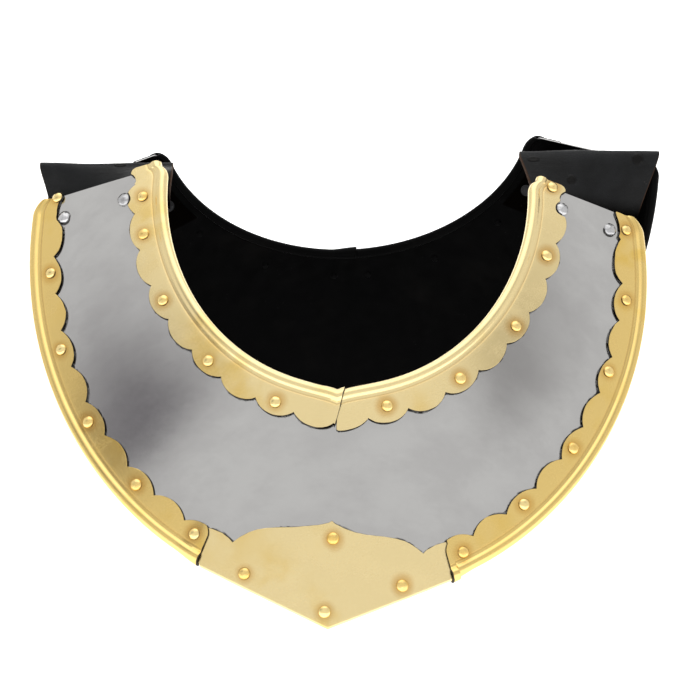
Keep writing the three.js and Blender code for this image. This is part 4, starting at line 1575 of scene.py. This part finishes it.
@dataclass(frozen=True)
class Strap:
    """A leather strap inside the breast's arm, over the shoulder, and inside the back's arm."""

    shape: StrapShape
    columns: int = 46
    steps: int = 14
    bead_drop: float = 2.7
    bead_share: tuple[float, float] = (0.02, 0.22)
    step: float = 12.0
    fold_half: float = 2.6
    fold_drop: float = 1.8
    depth: tuple[float, float] = (20.0, 22.6)
    back_start: tuple[float, float] = (16.0, 10.0)
    clearance: float = 3.0
    spread: tuple[float, float] = (0.8, 1.2)

    def arm_row(self, surface: Surface, down: np.ndarray, height: float) -> np.ndarray:
        """One row of points across an arm, from the neck side to the shoulder side."""
        side = self.shape.side
        neck, rim = surface.neck[side], surface.rim[side]
        inner, neck_in = neck.frame(neck.length - self.spread[0] * down)
        outer, rim_in = rim.frame(rim.length - self.spread[1] * down)
        u = np.linspace(0, 1, self.columns)[:, None]
        neck_inset, shoulder_inset = surface.shape.strap_neck[side], surface.shape.strap_shoulder[side]
        inner = inner + neck_in * np.interp(down, (0, self.step), neck_inset)[:, None]
        outer = outer + rim_in * np.interp(down, (0, self.step), shoulder_inset)[:, None]
        under_neck = neck_inset[0] < 2 * BEAD_RADIUS
        from_edge = np.minimum(u[:, 0], 1 - u[:, 0]) if under_neck else 1 - u[:, 0]
        under_bead = np.interp(from_edge, self.bead_share, (1, 0)) * self.bead_drop
        return surface.lift(inner * (1 - u) + outer * u, height - under_bead)

    def fold_row(self, behind: float, drop: float) -> np.ndarray:
        """One row of points along the fold."""
        u = np.linspace(0, 1, self.columns)
        shape = self.shape
        wave = shape.wave * (np.sin(5.2 * u + shape.seed) + 0.5 * np.sin(11 * u + 2 * shape.seed))
        return np.stack([
            shape.neck + (shape.shoulder - shape.neck) * u,
            self.depth[0] + (self.depth[1] - self.depth[0]) * u + behind + 0.6 * wave,
            shape.height - LEATHER / 2 - drop + wave], 1)

    def middle(self, breast: Surface, back: Surface) -> np.ndarray:
        """The leather's middle surface as rows along its length."""
        flat = np.zeros(self.columns)
        u = np.linspace(0, 1, self.columns)
        start = self.back_start[0] + (self.back_start[1] - self.back_start[0]) * u
        rows = np.array([
            self.arm_row(breast, flat + 2 * self.step, LEATHER_MIDDLE),
            self.arm_row(breast, flat + self.step, LEATHER_MIDDLE),
            self.arm_row(breast, flat, LEATHER_MIDDLE),
            self.fold_row(-self.fold_half, self.fold_drop),
            self.fold_row(0, 0),
            self.fold_row(self.fold_half, self.fold_drop),
            self.arm_row(back, start - 2, LEATHER_MIDDLE - self.clearance),
            self.arm_row(back, start + 3, LEATHER_MIDDLE),
            self.arm_row(back, start + 3 + self.step, LEATHER_MIDDLE),
            self.arm_row(back, start + 3 + 2 * self.step, LEATHER_MIDDLE)])
        return self.smooth(rows)

    def smooth(self, rows: np.ndarray) -> np.ndarray:
        """A curve through the rows that turns as softly as leather does."""
        knots = np.concatenate([
            [0], np.cumsum(np.sqrt(np.linalg.norm(np.diff(rows, axis=0), axis=2).mean(1)))])
        ends = np.concatenate([[2 * rows[0] - rows[1]], rows, [2 * rows[-1] - rows[-2]]])
        knots = np.concatenate([[2 * knots[0] - knots[1]], knots, [2 * knots[-1] - knots[-2]]])
        made = []
        for i in range(1, len(ends) - 2):
            p0, p1, p2, p3 = ends[i - 1:i + 3]
            t0, t1, t2, t3 = knots[i - 1:i + 3]
            for t in np.linspace(t1, t2, self.steps, endpoint=False):
                a1 = (t1 - t) / (t1 - t0) * p0 + (t - t0) / (t1 - t0) * p1
                a2 = (t2 - t) / (t2 - t1) * p1 + (t - t1) / (t2 - t1) * p2
                a3 = (t3 - t) / (t3 - t2) * p2 + (t - t2) / (t3 - t2) * p3
                b1 = (t2 - t) / (t2 - t0) * a1 + (t - t0) / (t2 - t0) * a2
                b2 = (t3 - t) / (t3 - t1) * a2 + (t - t1) / (t3 - t1) * a3
                made.append((t2 - t) / (t2 - t1) * b1 + (t - t1) / (t2 - t1) * b2)
        made.append(rows[-1])
        return np.array(made)

    def build(self, breast: Surface, back: Surface, finishes: Finishes) -> bpy.types.Object:
        """Makes the strap.

        Args:
            breast: The breast plate's surface.
            back: The back plate's surface.
            finishes: The gorget's materials.

        Returns:
            The piece.
        """
        middle = self.middle(breast, back)
        along = np.gradient(middle, axis=0)
        across = np.gradient(middle, axis=1)
        normal = np.cross(along, across)
        normal /= np.linalg.norm(normal, axis=2, keepdims=True)
        if normal[self.steps * 4, self.columns // 2, 2] < 0:
            normal = -normal
        rng = np.random.default_rng(self.shape.seed)
        swell = rng.normal(0, 0.05, middle.shape[:2])
        outer = middle + normal * (LEATHER / 2 + swell[..., None] * 0.4)
        inner = middle - normal * (LEATHER / 2)
        width = np.linalg.norm(np.diff(middle, axis=1), axis=2)
        run = np.concatenate([np.zeros((len(middle), 1)), np.cumsum(width, 1)], 1)
        edge = np.minimum(run, run[:, -1:] - run)
        scar = np.full(middle.shape[:2], 9.0)
        for x, z, half_x, half_z in self.shape.scars:
            reach = np.hypot((middle[..., 0] - x) / half_x, (middle[..., 2] - z) / half_z)
            front = middle[..., 1] < self.depth[0] + 3
            scar = np.where(front, np.minimum(scar, reach), scar)
        fold = np.linalg.norm(middle - middle[self.steps * 4][None], axis=2)
        grid = Grid(
            outer, inner, marks={"cut": edge, "scar": scar, "fold": fold},
            bulge=0.1, inner_material=0)
        return build_sheet(f"shoulder_strap_{self.shape.side.word}", grid, [finishes.leather])


STRAPS = (
    StrapShape(Side.LEFT, -88.6, -158.5, 6.0, ((-116.2, 4.0, 3.0, 1.2),), 0.3, 2),
    StrapShape(Side.RIGHT, 93.6, 167.0, 12.4,
               ((100.5, 6.9, 3.3, 1.5), (120.0, -3.9, 2.6, 2.6), (155.5, 7.4, 3.0, 2.8)), 0.35, 5),
)


@dataclass(frozen=True)
class StrapFasteners:
    """The steel rivets that hold the straps, with their washers and hammered ends."""

    head: float = 0.0037
    dome: float = 0.0023
    end: float = 0.0026

    def build(self, surfaces: Sequence[Surface], finishes: Finishes, rivets: bpy.types.NodeTree,
              washers: bpy.types.NodeTree) -> None:
        """Makes the rivets, washers and ends, and fastens them to the frame."""
        heads = seats = ends = None
        rivet_nodes, washer_nodes = [], []
        for surface in surfaces:
            name = surface.shape.name
            for side in Side:
                flat = surface.shape.studs[side]
                head = Places.on(surface, flat, STEEL / 2 - 0.02)
                seat = Places.on(surface, flat, WASHER_TOP - 0.4, inside=True)
                end = Places.on(surface, flat, WASHER_TOP - 0.8, inside=True)
                heads = head if heads is None else heads.plus(head)
                seats = seat if seats is None else seats.plus(seat)
                ends = end if ends is None else ends.plus(end)
                rivet_nodes += [f"{name}_strap_rivet_{side.word}_{i}" for i in (1, 2)]
                washer_nodes += [f"{name}_washer_{side.word}_{i}" for i in (1, 2)]
        domes = repeat("strap_rivets", heads, rivets, finishes.steel_rivet,
                       Head_Radius=self.head, Dome_Height=self.dome, Dents=0.00048)
        register(domes, rivet_nodes)
        rings = repeat("strap_washers", seats, washers, finishes.washer)
        register(rings, washer_nodes)
        tails = repeat("strap_rivet_ends", ends, rivets, finishes.washer,
                       Head_Radius=self.end, Dome_Height=0.0009, Dents=0.0003)
        register(tails, [])


# ---- Studio -----------------------------------------------------------------------------------------


@dataclass(frozen=True)
class AreaLight:
    """One soft light."""

    name: str
    place: tuple[float, float, float]
    target: tuple[float, float, float]
    size: tuple[float, float]
    power: float
    colour: tuple[float, float, float] = (1.0, 1.0, 1.0)

    def build(self) -> None:
        """Adds the light to the scene."""
        data = bpy.data.lights.new(self.name, "AREA")
        data.shape = "RECTANGLE"
        data.size, data.size_y = self.size
        data.energy = self.power
        data.color = self.colour
        lamp = bpy.data.objects.new(self.name, data)
        lamp.location = self.place
        lamp.visible_glossy = False
        way = Vector(self.target) - Vector(self.place)
        lamp.rotation_euler = way.to_track_quat("-Z", "Y").to_euler()
        bpy.context.scene.collection.objects.link(lamp)


@dataclass(frozen=True)
class Card:
    """A dark card that the metal mirrors.

    Its edges are soft bands, each from clear to dark: two in degrees round from straight ahead,
    two in the sine of the height above the horizon. Its low edge rises by its tilt per degree.
    """

    near_edge: tuple[float, float]
    far_edge: tuple[float, float]
    low_edge: tuple[float, float]
    high_edge: tuple[float, float]
    tilt: float
    colour: tuple[float, float, float]

    def seen(self, tree: Tree, round_about, height) -> bpy.types.NodeSocket:
        """Where the card stands in the world, as a mask."""
        mask = tree.math("MULTIPLY", tree.band(round_about, *self.near_edge),
                         tree.band(round_about, *self.far_edge))
        level = tree.math("SUBTRACT", height, tree.math("MULTIPLY", round_about, self.tilt))
        mask = tree.math("MULTIPLY", mask, tree.band(level, *self.low_edge))
        return tree.math("MULTIPLY", mask, tree.band(height, *self.high_edge))


@dataclass(frozen=True)
class Studio:
    """A pale floor that sweeps up behind, soft lights, and the camera."""

    floor: float = -0.46
    wall: float = 3.6
    front: float = -4.0
    half_width: float = 4.2
    top: float = 3.6
    bend: float = 0.7
    eye: tuple[float, float, float] = (0.0045, -1.4, -0.0925)
    lens: float = 138.86
    cards: tuple[Card, ...] = (
        Card((-20, -34), (-84, -52), (1.066, 1.082), (0.74, 0.55), 0.0117, (0.17, 0.155, 0.175)),
        Card((44, 47), (80, 52), (0.48, 0.57), (0.82, 0.64), 0.0, (0.47, 0.46, 0.455)),
    )
    room: tuple[float, float, float] = (0.88, 0.875, 0.865)
    skylight: tuple[float, float, float] = (1.7, 1.69, 1.66)
    skylight_edge: tuple[float, float] = (0.8, 0.92)
    lights: tuple[AreaLight, ...] = (
        AreaLight("overhead", (0.0, -0.35, 1.5), (0, -0.02, -0.1), (1.5, 0.9), 4.0),
        AreaLight("key_left", (-1.3, -1.5, 0.8), (0, 0, -0.1), (0.8, 0.9), 2.0),
        AreaLight("fill_right", (1.5, -1.3, 0.6), (0, 0, -0.1), (0.8, 0.9), 1.4),
    )

    def sweep(self) -> bpy.types.Object:
        """The floor and the wall behind it in one bent sheet."""
        angles = np.linspace(0, math.pi / 2, 24)
        path = [(self.front, self.floor)]
        path += [(self.wall - self.bend + self.bend * math.sin(a),
                  self.floor + self.bend * (1 - math.cos(a))) for a in angles]
        path.append((self.wall, self.top))
        points = [(x, y, z) for y, z in path for x in (-self.half_width, self.half_width)]
        faces = [(2 * i, 2 * i + 1, 2 * i + 3, 2 * i + 2) for i in range(len(path) - 1)]
        mesh = bpy.data.meshes.new("floor")
        mesh.from_pydata(points, [], faces)
        mesh.shade_smooth()
        material, tree, shader = principled("pale_paper")
        where = tree.add("ShaderNodeTexCoord").outputs["Object"]
        soft = tree.mix(tree.noise(where, 2.0), (0.93, 0.93, 0.935), (0.96, 0.96, 0.96))
        tree.tree.links.new(soft, shader.inputs["Base Color"])
        shader.inputs["Roughness"].default_value = 0.9
        shader.inputs["Emission Color"].default_value = (1, 1, 1, 1)
        shader.inputs["Emission Strength"].default_value = 0.6
        mesh.materials.append(material)
        floor = bpy.data.objects.new("floor", mesh)
        bpy.context.scene.collection.objects.link(floor)
        return floor

    def surroundings(self) -> None:
        """A bright room with a skylight and a dark card at either side, for the metal to mirror."""
        world = bpy.data.worlds.new("studio")
        world.use_nodes = True
        bpy.context.scene.world = world
        tree = Tree(world.node_tree)
        way = tree.add("ShaderNodeTexCoord").outputs["Generated"]
        x, y, height = tree.add("ShaderNodeSeparateXYZ", {0: way}).outputs
        ahead = tree.math("MULTIPLY", y, -1.0)
        round_about = tree.math("DEGREES", tree.math("ARCTAN2", x, ahead))
        colour = tree.mix(tree.band(height, *self.skylight_edge), self.room, self.skylight)
        for card in self.cards:
            colour = tree.mix(card.seen(tree, round_about, height), colour, card.colour)
        background = world.node_tree.nodes["Background"]
        world.node_tree.links.new(colour, background.inputs["Color"])
        background.inputs["Strength"].default_value = 1.0

    def camera(self) -> None:
        """The camera, level with the breast plate."""
        data = bpy.data.cameras.new("camera")
        data.lens = self.lens
        data.sensor_width = 36
        data.dof.use_dof = False
        data.clip_start, data.clip_end = 0.05, 20
        eye = bpy.data.objects.new("camera", data)
        eye.location = self.eye
        eye.rotation_euler = (math.pi / 2, 0, 0)
        bpy.context.scene.collection.objects.link(eye)
        bpy.context.scene.camera = eye

    def build(self) -> None:
        """Makes the whole studio."""
        self.sweep()
        self.surroundings()
        for light in self.lights:
            light.build()
        self.camera()
        bpy.context.scene.view_settings.view_transform = "Standard"


def main() -> None:
    """Builds the gorget and its studio in order."""
    logging.basicConfig(level=logging.INFO, format="%(message)s")
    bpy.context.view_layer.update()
    finishes = Finishes.build()
    rivets, washers = rivet_group(), washer_group()
    breast = Plate(BREAST, own_rivet_nodes=True).build(finishes, rivets)
    back = Plate(BACK, own_rivet_nodes=False).build(finishes, rivets)
    for shape in STRAPS:
        strap = Strap(shape).build(breast, back, finishes)
        register(strap, [f"leather_strap_{shape.side.word}"])
    StrapFasteners().build([breast, back], finishes, rivets, washers)
    Studio().build()


if __name__ == "__main__":
    main()
